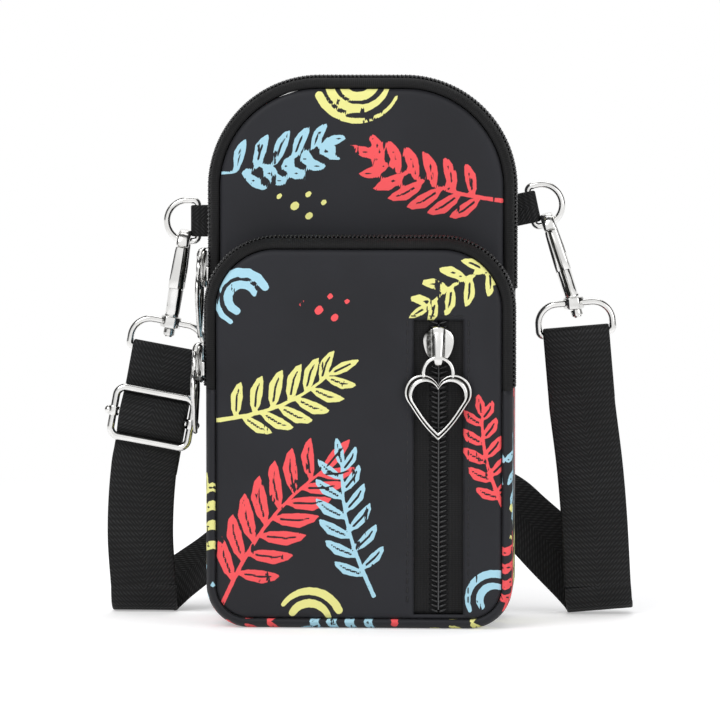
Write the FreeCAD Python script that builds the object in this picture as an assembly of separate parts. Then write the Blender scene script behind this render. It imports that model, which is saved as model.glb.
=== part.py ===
import FreeCAD, Part
import math
import os
from FreeCAD import Vector

# Crossbody phone pouch, standing on its base with its strap folded behind it.
# Millimetres, +Z up, front towards -Y, origin at the middle of the base.

# ---- pouch body ----
HALF_WIDTH = 50.0        # widest fabric, middle to side
HEIGHT = 179.0           # top of the main arch
FRONT_Y = -22.5          # face of the front panel
SPLIT_Y = -4.5           # front face of the wall between the two compartments
BACK_Y = 22.5            # face of the back panel
TOP_CORNER = 36.0        # radius of the main arch's shoulders
BASE_CORNER = 14.0
FRONT_DROP = 51.7
FRONT_TOP = HEIGHT - FRONT_DROP     # top of the front compartment
FRONT_CORNER = 23.0
PANEL_INSET = 3.5        # panels stop this far inside the widest line
ROUND_DEPTH = 4.2        # depth over which a wall curves in to a panel
WALL = 1.2               # fabric with its lining
PANEL = 1.5              # padded panel
CHORD_SAG = 0.08         # how far the straight steps of a curve may leave it

# ---- zips ----
TAPE = 0.8
TAPE_WIDTH = 7.0         # rear tape of the main zip
SLIT = 0.5               # gap between the two rows of teeth
TOOTH_REACH = 2.9
TOOTH_HEIGHT = 1.1
TOOTH_FOOT = 1.1
TOOTH_SLANT = 0.5
PITCH = 1.6
ROW_MARGIN = 0.1         # from the end of a curved edge to the first row
MAIN_ZIP_DROP = 70.0     # from a compartment's top to the end of its zip's legs
FRONT_ZIP_DROP = 49.3
MAIN_FOLD_DROP = 48.0    # from a compartment's top to the line on which its flap folds forward
FRONT_FOLD_DROP = 24.3
MAIN_ZIP_END = HEIGHT - MAIN_ZIP_DROP
FRONT_ZIP_END = FRONT_TOP - FRONT_ZIP_DROP
MAIN_FOLD = HEIGHT - MAIN_FOLD_DROP
FRONT_FOLD = FRONT_TOP - FRONT_FOLD_DROP
FOLD_GAP = 0.15
MAIN_ZIP_Y = SPLIT_Y + ROUND_DEPTH + ROW_MARGIN + TOOTH_REACH + SLIT / 2
FRONT_ZIP_Y = FRONT_Y + ROUND_DEPTH + ROW_MARGIN + TOOTH_REACH + SLIT / 2

# ---- pocket zip in the front panel ----
POCKET_INSET = 24.0      # from the pouch's side to the middle of the pocket zip
POCKET_X = HALF_WIDTH - POCKET_INSET
WINDOW_HALF = 8.0
WINDOW_LOW = 5.0
WINDOW_DROP = 26.3       # from the front's top to the window
WINDOW_HIGH = FRONT_TOP - WINDOW_DROP
TAPE_HALF = 12.0
TAPE_LAP = 1.6           # how far the tape runs on above the window
POUCH_RIM = 4.0          # sewn rim of the flat pocket behind the zip
POUCH_HALF = 14.0
POUCH_DEPTH = 2.8
POUCH_WALL = 1.0

# ---- sliders and heart pulls ----
MAIN_SLIDER_RISE = 8.0   # sliders above the ends of their zips
FRONT_SLIDER_RISE = 9.0
POCKET_SLIDER_DROP = 9.0
MAIN_SLIDER_Z = MAIN_ZIP_END + MAIN_SLIDER_RISE
FRONT_SLIDER_Z = FRONT_ZIP_END + FRONT_SLIDER_RISE
POCKET_SLIDER_Z = WINDOW_HIGH - POCKET_SLIDER_DROP
NOSE_RADIUS = 5.0
TAIL_RADIUS = 3.1
SLIDER_SPAN = 4.5        # between the centres of nose and tail
PLATE = 1.0
SLIDER_PLAY = 0.2        # plate to teeth
TAPE_PLAY = 0.3          # slider to tape
POST = 0.3               # web between the rows
HOOD_HEIGHT = 0.6
CROWN_RADIUS = 2.1
CROWN_WIDTH = 2.2
EYELET_RADIUS = 1.2
PIN_REACH = 3.0          # slider centre to the pull's axis, towards the tail
PULL_RISE = 1.5          # plate face to the pull's axis
PULL_THICKNESS = 1.5
HEART_WIDTH = 22.0
HEART_HOLE = 16.4
HEART_BAND_TOP = 2.7
LINK_OUTER = 5.5
LINK_INNER = 4.1
LINK_RISE = 4.7          # top of the link above the top of the heart

# ---- tabs and rings ----
WIRE_FLATS = 6
WIRE = 1.1               # radius of the ring wire
RING_RADIUS = 6.8
RING_LEG = 3.6           # bar to the centre of the ring's bow
RING_CORNER = 1.6
RING_CONTACT = 9.5       # degrees past the bottom of the bow where a hook hangs
TAB_WIDTH = 9.4
TAB_BORE_PLAY = 0.15
WEB = 1.2                # thickness of all webbing
CHAIN_Y = 19.5           # rings, hooks and strap hang in this plane
SIDES = {                # bars: distance from the pouch's side, and below its top
    "left": {"side": -1, "bar": (5.6, 47.9), "ring_tilt": 0.0, "hook_tilt": 9.5, "eye_tilt": 10.5},
    "right": {"side": 1, "bar": (5.0, 43.1), "ring_tilt": 12.0, "hook_tilt": 17.5, "eye_tilt": 5.0},
}

# ---- strap widths that the hardware follows ----
STRAP_WIDTH = 22.0
EYE_ROOM = 1.3           # beyond the strap's edge to the middle of the wire
BUCKLE_ROOM = 2.1

# ---- snap hooks ----
HOOK_WIDTH = 10.6
HOOK_WALL = 2.4
HOOK_THICKNESS = 5.2
HOOK_TIP_THICKNESS = 3.0
HOOK_NECK_THICKNESS = 3.8
HOOK_PLAY = 0.4          # hook to ring wire
CLAW_DEPTH = 9.1         # straight part of the claw's opening
HOOK_LENGTH = 25.0       # ring wire to the swivel face
HOOK_NECK = 2.8
GATE_THICKNESS = 3.0
GATE_WIDTH = 1.9
GATE_PLAY = 0.3
GATE_PIVOT = (-3.4, -13.8)
GATE_FOOT = 1.7
GATE_PIN = 0.6
PIN_PLAY = 0.1
SWIVEL_DROP = 27.5       # ring wire to the middle of the swivel boss
BOSS_RADIUS = 2.8
BOSS_HEIGHT = 3.2
BOSS_BORE = 1.55
POST_RADIUS = 1.0
RIVET_RADIUS = 1.9
RIVET_GAP = 0.6
RIVET_HEIGHT = 2.2
EYE_HALF = STRAP_WIDTH / 2 + EYE_ROOM
EYE_DROP = 10.2          # boss to the bar that carries the strap
EYE_WIRE = 1.15
EYE_SHOULDER = 6.5
EYE_CORNER = 1.6

# ---- strap ----
LOOP_PLAY = 0.15
LEFT_LOOP = 40.0         # length of the doubled strap below each eye
RIGHT_LOOP = 22.0
LAYER_GAP = 0.05
FOOT_RADIUS = 6.9        # bend where a drop meets the surface
FOOT_STEPS = 4
JOIN_GAP = 0.2
BUCKLE_DROP = 21.8       # eye bar to the middle of the slide buckle
BUCKLE_HALF = STRAP_WIDTH / 2 + BUCKLE_ROOM
BUCKLE_RISE = 8.3
BUCKLE_CORNER = 3.0
BUCKLE_WIRE = 1.25
BAR_WIRE = 1.1
SLEEVE_OUTER = 1.75
SLEEVE_INNER = 1.35
SLEEVE_HEIGHT = 3.0
HANK_PLAY = 1.5          # back panel to the folded strap
HANK_Y = BACK_Y + HANK_PLAY + STRAP_WIDTH / 2
HANK_PITCH = 6.0
HANK_RUNS = 6
HANK_TOP = 142.0
LEFT_ENTRY_Z = 66.0
RIGHT_ENTRY_Z = 80.0
# middles and width directions of the strap where it lies twisted behind the pouch
LEFT_RUN = [
    ((-HALF_WIDTH - 22.1, HANK_Y - 6.0, 3.6), (-0.85, 0.50, 0.15)),
    ((-HALF_WIDTH - 15.4, HANK_Y - 2.8, 7.5), (-0.60, 0.72, 0.35)),
    ((-HALF_WIDTH - 2.0, HANK_Y - 0.5, 17.0), (-0.38, 0.82, 0.43)),
    ((-36.0, HANK_Y, 31.0), (-0.20, 0.95, 0.25)),
    ((-22.0, HANK_Y, 46.0), (0.0, 1.0, 0.0)),
]
RIGHT_RUN = [
    ((HALF_WIDTH + 27.4, HANK_Y - 5.5, 4.2), (0.97, 0.12, 0.20)),
    ((HALF_WIDTH + 24.0, HANK_Y - 4.0, 9.5), (0.85, 0.18, 0.46)),
    ((HALF_WIDTH + 16.0, HANK_Y - 3.5, 17.5), (0.72, 0.20, 0.66)),
    ((HALF_WIDTH, HANK_Y - 1.0, 33.0), (0.60, 0.50, 0.62)),
    ((32.0, HANK_Y, 50.0), (0.20, 0.95, 0.20)),
    ((19.0, HANK_Y, 64.0), (0.0, 1.0, 0.0)),
]

X = Vector(1, 0, 0)
Y = Vector(0, 1, 0)
Z = Vector(0, 0, 1)
ORIGIN = Vector(0, 0, 0)
FAR = 400.0


# ---- general shapes ----
def joined(shapes):
    """Fuse touching solids into one."""
    first, *rest = shapes
    return first.fuse(rest).removeSplitter() if rest else first


def block(x0, x1, y0, y1, z0, z1):
    """A box between two corners."""
    return Part.makeBox(x1 - x0, y1 - y0, z1 - z0, Vector(x0, y0, z0))


def rod(radius, start, axis, length):
    """A cylinder from a point along an axis."""
    return Part.makeCylinder(radius, length, start, axis)


def prism(points, thickness):
    """Carry a closed polygon of points along a vector."""
    return polygon(points).extrude(thickness)


def placed(shape, tilt, x, z):
    """Tilt a shape about Y at the origin and set it down in the plane of the rings."""
    moved = shape.copy()
    moved.rotate(ORIGIN, Y, tilt)
    moved.translate(Vector(x, CHAIN_Y, z))
    return moved


def steps(radius, span):
    """How many straight steps stand for an arc of so many degrees."""
    return max(2, math.ceil(abs(span) / math.degrees(2 * math.acos(1 - CHORD_SAG / abs(radius)))))


def bow(u, v, radius, first, last):
    """Points (u, v) on an arc between two angles, anticlockwise from the first axis."""
    count = steps(radius, last - first)
    angles = [math.radians(first + (last - first) * k / count) for k in range(count + 1)]
    return [(u + radius * math.cos(a), v + radius * math.sin(a)) for a in angles]


def polygon(corners):
    """A flat face with straight edges."""
    return Part.Face(Part.makePolygon(corners + corners[:1]))


def skin(rings, closed=False, twisted=False):
    """The solid between successive rings of corners; twisted rings have four corners."""
    pairs = list(zip(rings, rings[1:]))
    faces = []
    if closed:
        pairs.append((rings[-1], rings[0]))
    else:
        faces += [polygon(rings[0]), polygon(rings[-1])]
    for near, far in pairs:
        for k, m in zip(range(len(near)), [*range(1, len(near)), 0]):
            if twisted and k < 2:
                faces += [polygon([near[k], near[m], far[m]]), polygon([near[k], far[m], far[k]])]
            elif twisted:
                faces += [polygon([near[k], near[m], far[k]]), polygon([near[m], far[m], far[k]])]
            else:
                faces.append(polygon([near[k], near[m], far[m], far[k]]))
    solid = Part.makeSolid(Part.makeShell(faces))
    if solid.Volume < 0:
        solid.reverse()
    return solid.removeSplitter()


# ---- paths of (point, heading) stops in the XZ plane, clockwise seen from the front ----
def heading(angle):
    """Outward direction: -90 left, 0 up, 90 right, 180 down."""
    return Vector(math.sin(math.radians(angle)), 0, math.cos(math.radians(angle)))


def stop(x, z, angle):
    return Vector(x, 0, z), angle


def corner(x, z, radius, first, last):
    """Stops round a corner from one heading to another."""
    count = steps(radius, last - first)
    angles = [first + (last - first) * k / count for k in range(count + 1)]
    return [(Vector(x, 0, z) + heading(a) * radius, a) for a in angles]


def sweep(path, section, closed=False):
    """Carry a section of (outward, y) points along a path."""
    rings = [[point + heading(angle) * n + Y * y for n, y in section] for point, angle in path]
    return skin(rings, closed)


def arch(half, top, radius, foot):
    """Left foot, up, over and down to the right foot."""
    return [
        stop(-half, foot, -90),
        *corner(radius - half, top - radius, radius, -90, 0),
        *corner(half - radius, top - radius, radius, 0, 90),
        stop(half, foot, 90),
    ]


def bowl(half, base, radius, rim):
    """Right rim, down, under and up to the left rim."""
    return [
        stop(half, rim, 90),
        *corner(half - radius, base + radius, radius, 90, 180),
        *corner(radius - half, base + radius, radius, 180, 270),
        stop(-half, rim, 270),
    ]


def loop(over, under):
    """A closed path from an arch and the bowl below it."""
    return over[:-1] + under[:-1]


def plate(path, inset, y0, y1):
    """A flat panel inside a closed path."""
    return prism([point - heading(angle) * inset + Y * y0 for point, angle in path], Y * (y1 - y0))


def wire_section(radius):
    """Six flats on a circle."""
    corners = [math.radians(360 * k / WIRE_FLATS) for k in range(WIRE_FLATS)]
    return [(radius * math.cos(a), radius * math.sin(a)) for a in corners]


def ring_of_wire(half, base, top, base_corner, top_corner, radius):
    """A closed wire ring in the XZ plane at y = 0."""
    middle = (top + base) / 2 + (base_corner - top_corner) / 2
    path = loop(arch(half, top, top_corner, middle), bowl(half, base, base_corner, middle))
    return sweep(path, wire_section(radius), closed=True)


def faceted_rod(radius, start, length):
    """An upright rod with eight flats."""
    corners = [math.radians(22.5 + 45 * k) for k in range(8)]
    return prism([start + Vector(radius * math.cos(a), radius * math.sin(a), 0) for a in corners], Z * length)


def ribbon(stations, width):
    """Webbing through (middle, width direction, travel direction or None) stations."""
    rings = []
    last = len(stations) - 1
    for k, (middle, across, travel) in enumerate(stations):
        if travel is None:
            travel = stations[min(k + 1, last)][0] - stations[max(k - 1, 0)][0]
        face = travel.cross(across).normalize()
        side = face.cross(travel).normalize()
        half, thick = side * (width / 2), face * (WEB / 2)
        rings.append([middle - half - thick, middle + half - thick,
                      middle + half + thick, middle - half + thick])
    return skin(rings, twisted=True)


# ---- cross-sections of the walls ----
def edge_curve(y, inward, inner):
    """Quarter of an oval from a panel's edge out to the widest line, its inside straight."""
    reach = PANEL_INSET - inner
    depth = ROUND_DEPTH - inner
    start = y + inward * inner
    angles = [math.radians(a) for a in ((0, 90) if inner else (0, 45, 90))]
    return [(-PANEL_INSET + reach * math.sin(a), start + inward * depth * (1 - math.cos(a)))
            for a in angles]


def wall_section(y0, y1, thickness):
    """A wall that curves in at both ends."""
    outer = edge_curve(y0, 1, 0) + edge_curve(y1, -1, 0)[::-1]
    inner = edge_curve(y0, 1, thickness) + edge_curve(y1, -1, thickness)[::-1]
    return outer + inner[::-1]


def front_tape_section(y0, slit_y):
    """Tape from a panel's edge to the slit."""
    outer = edge_curve(y0, 1, 0) + [(0, slit_y)]
    inner = edge_curve(y0, 1, TAPE) + [(-TAPE, slit_y)]
    return outer + inner[::-1]


def back_section(y0, y1, thickness):
    """Wall or tape from a straight edge to a panel's edge behind it."""
    outer = [(0, y0)] + edge_curve(y1, -1, 0)[::-1]
    inner = [(-thickness, y0)] + edge_curve(y1, -1, thickness)[::-1]
    return outer + inner[::-1]


def flat_section(y0, y1, thickness):
    return [(0, y0), (0, y1), (-thickness, y1), (-thickness, y0)]


# ---- zip teeth ----
def tooth(point, angle, y, direction):
    """One slanted tooth that reaches from the slit towards the tape's edge."""
    outward = heading(angle)
    along = heading(angle + 90)
    foot = along * (TOOTH_FOOT / 2)
    base = point + Y * y
    reach = Y * (direction * TOOTH_REACH) + along * TOOTH_SLANT
    return prism([base - foot, base + foot, base + outward * TOOTH_HEIGHT], reach)


def teeth(path, slit_middle, direction, wanted):
    """A row of teeth along a path, on one side of the slit, where wanted(z) holds."""
    row = []
    place = PITCH if direction > 0 else PITCH * 1.5
    for (start, first), (end, last) in zip(path, path[1:]):
        length = (end - start).Length
        while place < length:
            point = start + (end - start) * (place / length)
            if wanted(point.z):
                row.append(tooth(point, (first + last) / 2, slit_middle + direction * SLIT / 2, direction))
            place += PITCH
        place -= length
    return Part.makeCompound(row[:-1])


def rows(path, slit_y, fold):
    """Rear row, folding front row and the fixed stubs of the front row."""
    margin = TOOTH_FOOT
    return (
        teeth(path, slit_y, 1, lambda z: True),
        teeth(path, slit_y, -1, lambda z: z > fold + margin),
        teeth(path, slit_y, -1, lambda z: z < fold - margin),
    )


# ---- pouch body ----
def main_compartment():
    whole = arch(HALF_WIDTH, HEIGHT, TOP_CORNER, MAIN_ZIP_END)
    low = bowl(HALF_WIDTH, 0, BASE_CORNER, MAIN_ZIP_END)
    flap = arch(HALF_WIDTH, HEIGHT, TOP_CORNER, MAIN_FOLD + FOLD_GAP)
    wall_y = MAIN_ZIP_Y + SLIT / 2 + TAPE_WIDTH
    outline = loop(whole, low)
    divider = plate(outline, PANEL_INSET, SPLIT_Y, SPLIT_Y + PANEL)
    front_tape = front_tape_section(SPLIT_Y, MAIN_ZIP_Y - SLIT / 2)
    rear, front, stubs = rows(whole, MAIN_ZIP_Y, MAIN_FOLD)
    return {
        "back_panel": plate(outline, PANEL_INSET, BACK_Y - PANEL, BACK_Y),
        "main_gusset": sweep(low, wall_section(SPLIT_Y, BACK_Y, WALL)),
        "main_rear_band": sweep(whole, back_section(wall_y, BACK_Y, WALL)),
        "divider_panel": divider.common(block(-FAR, FAR, -FAR, FAR, -FAR, MAIN_FOLD)),
        "upper_front_panel": divider.common(block(-FAR, FAR, -FAR, FAR, MAIN_FOLD + FOLD_GAP, FAR)),
        "main_zip_rear_tape": sweep(whole, flat_section(MAIN_ZIP_Y + SLIT / 2, wall_y, TAPE)),
        "main_zip_front_tape": sweep(flap, front_tape),
        "main_zip_side_tapes": side_tapes(front_tape, MAIN_ZIP_END, MAIN_FOLD),
        "main_zip_rear_teeth": rear,
        "main_zip_front_teeth": front,
        "main_zip_side_teeth": stubs,
    }


def side_tapes(section, low, high):
    """The two legs of a front tape below the fold."""
    left = [stop(-HALF_WIDTH, low, -90), stop(-HALF_WIDTH, high, -90)]
    right = [stop(HALF_WIDTH, high, 90), stop(HALF_WIDTH, low, 90)]
    return Part.makeCompound([sweep(left, section), sweep(right, section)])


def front_compartment():
    whole = arch(HALF_WIDTH, FRONT_TOP, FRONT_CORNER, FRONT_ZIP_END)
    low = bowl(HALF_WIDTH, 0, BASE_CORNER, FRONT_ZIP_END)
    flap = arch(HALF_WIDTH, FRONT_TOP, FRONT_CORNER, FRONT_FOLD + FOLD_GAP)
    face = plate(loop(whole, low), PANEL_INSET, FRONT_Y, FRONT_Y + PANEL)
    window = block(POCKET_X - WINDOW_HALF, POCKET_X + WINDOW_HALF, FRONT_Y - PANEL, FRONT_Y + 2 * PANEL,
                   WINDOW_LOW, WINDOW_HIGH)
    front_tape = front_tape_section(FRONT_Y, FRONT_ZIP_Y - SLIT / 2)
    rear, front, stubs = rows(whole, FRONT_ZIP_Y, FRONT_FOLD)
    return {
        "front_panel": face.common(block(-FAR, FAR, -FAR, FAR, -FAR, FRONT_FOLD)).cut(window),
        "front_flap_panel": face.common(block(-FAR, FAR, -FAR, FAR, FRONT_FOLD + FOLD_GAP, FAR)),
        "front_gusset": sweep(low, wall_section(FRONT_Y, SPLIT_Y, WALL)),
        "front_zip_rear_tape": sweep(whole, back_section(FRONT_ZIP_Y + SLIT / 2, SPLIT_Y, TAPE)),
        "front_zip_front_tape": sweep(flap, front_tape),
        "front_zip_side_tapes": side_tapes(front_tape, FRONT_ZIP_END, FRONT_FOLD),
        "front_zip_rear_teeth": rear,
        "front_zip_front_teeth": front,
        "front_zip_side_teeth": stubs,
    }


# ---- pocket zip: built facing left at the origin, then turned to face the front ----
def facing_front(shape, z=0.0):
    turned = shape.copy()
    turned.rotate(ORIGIN, Z, 90)
    turned.translate(Vector(POCKET_X, FRONT_Y + PANEL, z))
    return turned


def pocket_zip():
    high = WINDOW_HIGH + TAPE_LAP
    run = [stop(0, WINDOW_LOW, -90), stop(0, high, -90)]
    left = sweep(run, flat_section(SLIT / 2, TAPE_HALF, TAPE))
    right = sweep(run, flat_section(-TAPE_HALF, -SLIT / 2, TAPE))
    in_window = lambda z: z < WINDOW_HIGH - TOOTH_FOOT
    tape_back = FRONT_Y + PANEL + TAPE
    body = block(POCKET_X - POUCH_HALF, POCKET_X + POUCH_HALF, tape_back, tape_back + POUCH_DEPTH,
                 WINDOW_LOW, high)
    inner = POUCH_HALF - POUCH_RIM
    hollow = block(POCKET_X - inner, POCKET_X + inner, tape_back - 1, tape_back + POUCH_DEPTH - POUCH_WALL,
                   WINDOW_LOW + POUCH_WALL, high - POUCH_WALL)
    return {
        "pocket_zip_left_tape": facing_front(left),
        "pocket_zip_right_tape": facing_front(right),
        "pocket_zip_left_teeth": facing_front(teeth(run, 0, 1, in_window)),
        "pocket_zip_right_teeth": facing_front(teeth(run, 0, -1, in_window)),
        "pocket_lining": body.cut(hollow),
    }


# ---- zip slider: outward -X, across Y, nose towards +Z ----
def egg(shrink, x0, x1):
    """A prism with the slider's egg outline between two X planes."""
    nose, tail = NOSE_RADIUS - shrink, TAIL_RADIUS - shrink
    lean = math.degrees(math.asin((nose - tail) / SLIDER_SPAN))
    half = SLIDER_SPAN / 2
    outline = bow(0, half, nose, -lean, 180 + lean) + bow(0, -half, tail, 180 + lean, 360 - lean)
    return prism([Vector(x0, y, z) for y, z in outline], X * (x1 - x0))


def slider():
    top = TOOTH_HEIGHT + SLIDER_PLAY
    face = top + PLATE
    under = TAPE + TAPE_PLAY
    axis_x = -(face + PULL_RISE)
    channel = TOOTH_REACH + SLIT / 2 + SLIDER_PLAY
    rail = NOSE_RADIUS - 0.3
    cap = egg(0, -face, -top)
    rails = [block(-top, -TAPE_PLAY, y0, y1, 0, NOSE_RADIUS)
             for y0, y1 in ((-rail, -channel), (channel, rail))]
    keel = block(under, under + PLATE, -TOOTH_REACH, TOOTH_REACH, -SLIDER_SPAN, SLIDER_SPAN + 1)
    post = block(-top, under, -POST / 2, POST / 2, NOSE_RADIUS - 1.5, NOSE_RADIUS + 0.5)
    hood = egg(1.2, -face - HOOD_HEIGHT, -face)
    crown = rod(CROWN_RADIUS, Vector(axis_x, -CROWN_WIDTH / 2, -PIN_REACH), Y, CROWN_WIDTH)
    base = block(axis_x, -face, -CROWN_WIDTH / 2, CROWN_WIDTH / 2, -PIN_REACH - CROWN_RADIUS,
                 -PIN_REACH + CROWN_RADIUS)
    eyelet = rod(EYELET_RADIUS, Vector(axis_x, -CROWN_WIDTH, -PIN_REACH), Y, 2 * CROWN_WIDTH)
    return joined([cap, *rails, keel, post, hood, crown, base]).cut(eyelet)


# ---- heart pull: hangs from the origin, outward -X ----
def heart(width, top):
    """A heart-shaped slab with the tops of its two lobes at the given height."""
    radius, reach, tip = 0.26 * width, 0.24 * width, top - 0.98 * width
    centre = top - radius
    drop = centre - tip
    touch = math.degrees(math.asin(radius / math.hypot(reach, drop)) + math.atan2(reach, drop))
    notch = math.degrees(math.acos(reach / radius))
    lobe = bow(reach, centre, radius, -touch, 180 - notch)
    outline = [(0, tip), *lobe, *[(-y, z) for y, z in reversed(lobe[:-1])]]
    return prism([Vector(-PULL_THICKNESS / 2, y, z) for y, z in outline], X * PULL_THICKNESS)


def disc(radius, z):
    outline = bow(0, z, radius, 0, 360)[:-1]
    return prism([Vector(-PULL_THICKNESS / 2, y, z) for y, z in outline], X * PULL_THICKNESS)


def pull():
    heart_top = LINK_OUTER - LINK_RISE + (LINK_INNER - LINK_OUTER) / 2 - LINK_OUTER
    centre = -(LINK_OUTER + LINK_INNER) / 2
    link = disc(LINK_OUTER, centre).cut(disc(LINK_INNER, centre))
    link = link.common(block(-FAR, FAR, -FAR, FAR, heart_top - 2.0, FAR))
    return joined([heart(HEART_WIDTH, heart_top).cut(heart(HEART_HOLE, heart_top - HEART_BAND_TOP)), link])


def sliders_and_pulls():
    """Side sliders close downwards, so their noses point down; the pocket's points up."""
    lift = TOOTH_HEIGHT + SLIDER_PLAY + PLATE + PULL_RISE
    hanging = pull()
    upright = slider()
    inverted = upright.copy()
    inverted.rotate(ORIGIN, X, 180)
    made = {}
    for name, y, z in (("main", MAIN_ZIP_Y, MAIN_SLIDER_Z), ("front", FRONT_ZIP_Y, FRONT_SLIDER_Z)):
        made[name + "_slider"] = inverted.translated(Vector(-HALF_WIDTH, y, z))
        made[name + "_heart_pull"] = hanging.translated(Vector(-HALF_WIDTH - lift, y, z + PIN_REACH))
    made["pocket_slider"] = facing_front(upright, POCKET_SLIDER_Z)
    hung = hanging.translated(Vector(-lift, 0, 0))
    made["pocket_heart_pull"] = facing_front(hung, POCKET_SLIDER_Z - PIN_REACH)
    return made


# ---- tab, ring, hook and eye of one side ----
def tab(side):
    """Folded webbing round the ring's bar, sewn to the pouch's side."""
    bore = WIRE + TAB_BORE_PLAY
    half = TAB_WIDTH / 2
    sleeve = faceted_rod(bore + WEB, Vector(0, 0, -half), TAB_WIDTH)
    neck = block(-3 * TAB_WIDTH, 0, -bore, bore, -half, half)
    if side < 0:
        neck = block(0, 3 * TAB_WIDTH, -bore, bore, -half, half)
    return joined([sleeve, neck]).cut(rod(bore, Vector(0, 0, -TAB_WIDTH), Z, 2 * TAB_WIDTH))


def d_ring(side):
    """Straight bar at x = 0 and a half-round bow outwards."""
    r, c = RING_RADIUS, RING_CORNER
    path = [
        *corner(c, r - c, c, -90, 0),
        *corner(RING_LEG, 0, r, 0, 180),
        *corner(c, c - r, c, 180, 270),
    ]
    ring = sweep(path, wire_section(WIRE), closed=True)
    return ring if side > 0 else ring.mirror(ORIGIN, X)


def hook_plan(points, thickness):
    """A prism of (y, z) points, centred on x = 0."""
    return prism([Vector(-thickness / 2, y, z) for y, z in points], X * thickness)


def snap_hook():
    """Claw over the ring wire at the origin, neck and swivel post below."""
    outer = HOOK_WIDTH / 2
    inner = outer - HOOK_WALL
    crown_z = WIRE + HOOK_PLAY - inner
    floor_z = crown_z - CLAW_DEPTH
    flank = [(-outer + 0.6, floor_z - 2), (-HOOK_NECK, floor_z - 9), (-HOOK_NECK, -HOOK_LENGTH)]
    outline = bow(0, crown_z, outer, 0, 180) + flank + [(-y, z) for y, z in reversed(flank)]
    body = hook_plan(outline, HOOK_THICKNESS)
    hole = bow(0, crown_z, inner, 0, 180) + [(-inner, floor_z), (inner, floor_z)]
    opening = hook_plan(hole, 2 * HOOK_THICKNESS)
    mouth = block(-HOOK_THICKNESS, HOOK_THICKNESS, -outer - 1, 0, floor_z, crown_z)
    pivot = Vector(-HOOK_THICKNESS / 2, *GATE_PIVOT)
    slot_half = GATE_THICKNESS / 2 + PIN_PLAY
    slot = block(-slot_half, slot_half, -outer - 1, GATE_PIVOT[0] + GATE_FOOT + GATE_PLAY,
                 GATE_PIVOT[1] - GATE_FOOT - GATE_PLAY, floor_z)
    tip, middle, neck = (t / 2 for t in (HOOK_TIP_THICKNESS, HOOK_THICKNESS, HOOK_NECK_THICKNESS))
    edge = [(tip, outer), (tip, -WIRE), (middle, floor_z), (middle, floor_z - 9), (neck, -HOOK_LENGTH)]
    edge += [(-x, z) for x, z in reversed(edge)]
    taper = prism([Vector(x, -HOOK_WIDTH, z) for x, z in edge], Y * (2 * HOOK_WIDTH))
    body = body.cut([opening, mouth, slot]).common(taper)
    rivet_z = -SWIVEL_DROP - BOSS_HEIGHT / 2 - RIVET_GAP
    return joined([
        body,
        rod(GATE_PIN, pivot, X, HOOK_THICKNESS).common(taper),
        rod(POST_RADIUS, Vector(0, 0, rivet_z), Z, -HOOK_LENGTH - rivet_z),
        rod(RIVET_RADIUS, Vector(0, 0, rivet_z - RIVET_HEIGHT), Z, RIVET_HEIGHT),
    ])


def hook_gate():
    """Sprung lever that closes the claw's mouth."""
    inner = HOOK_WIDTH / 2 - HOOK_WALL
    crown_z = WIRE + HOOK_PLAY - inner
    pivot_y, pivot_z = GATE_PIVOT
    start = Vector(-GATE_THICKNESS / 2, pivot_y, pivot_z)
    lever = block(-GATE_THICKNESS / 2, GATE_THICKNESS / 2, -inner - GATE_WIDTH - PIN_PLAY, -inner - PIN_PLAY,
                  pivot_z, crown_z - GATE_PLAY)
    foot = rod(GATE_FOOT, start, X, GATE_THICKNESS)
    bore = rod(GATE_PIN + PIN_PLAY, start - X, X, GATE_THICKNESS + 2)
    return joined([foot, lever]).cut(bore)


def swivel_eye():
    """Boss at the origin and a bar below it that carries the strap."""
    ring = ring_of_wire(EYE_HALF, -EYE_DROP, 0, EYE_CORNER, EYE_SHOULDER, EYE_WIRE)
    boss = faceted_rod(BOSS_RADIUS, Vector(0, 0, -BOSS_HEIGHT / 2), BOSS_HEIGHT)
    return joined([ring, boss]).cut(rod(BOSS_BORE, Vector(0, 0, -BOSS_HEIGHT), Z, 2 * BOSS_HEIGHT))


class Chain:
    """Where one side's ring, hook and eye hang."""

    def __init__(self, side, bar, ring_tilt, hook_tilt, eye_tilt):
        self.side = side
        self.ring_tilt, self.hook_tilt, self.eye_tilt = (-side * t for t in (ring_tilt, hook_tilt, eye_tilt))
        out = self.turned(X * side, self.ring_tilt)
        to_contact = self.turned(-Z, self.ring_tilt - side * RING_CONTACT)
        down_hook = self.turned(-Z, self.hook_tilt)
        self.down = self.turned(-Z, self.eye_tilt)
        self.bar = Vector(side * (HALF_WIDTH + bar[0]), CHAIN_Y, HEIGHT - bar[1])
        self.contact = self.bar + out * RING_LEG + to_contact * RING_RADIUS
        self.boss = self.contact + down_hook * SWIVEL_DROP
        self.eye_bar = self.boss + self.down * EYE_DROP

    @staticmethod
    def turned(vector, angle):
        return FreeCAD.Rotation(Y, angle).multVec(vector)

    def parts(self, name):
        strip = block(-HALF_WIDTH, HALF_WIDTH, -FAR, FAR, -FAR, FAR)
        sewn = placed(tab(self.side), self.ring_tilt, self.bar.x, self.bar.z).cut(strip)
        return {
            name + "_tab": sewn,
            name + "_d_ring": placed(d_ring(self.side), self.ring_tilt, self.bar.x, self.bar.z),
            name + "_snap_hook": placed(snap_hook(), self.hook_tilt, self.contact.x, self.contact.z),
            name + "_hook_gate": placed(hook_gate(), self.hook_tilt, self.contact.x, self.contact.z),
            name + "_swivel_eye": placed(swivel_eye(), self.eye_tilt, self.boss.x, self.boss.z),
        }


# ---- strap ----
LAYER_OFFSET = EYE_WIRE + LOOP_PLAY + WEB / 2     # eye bar to the middle of a layer


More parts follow.
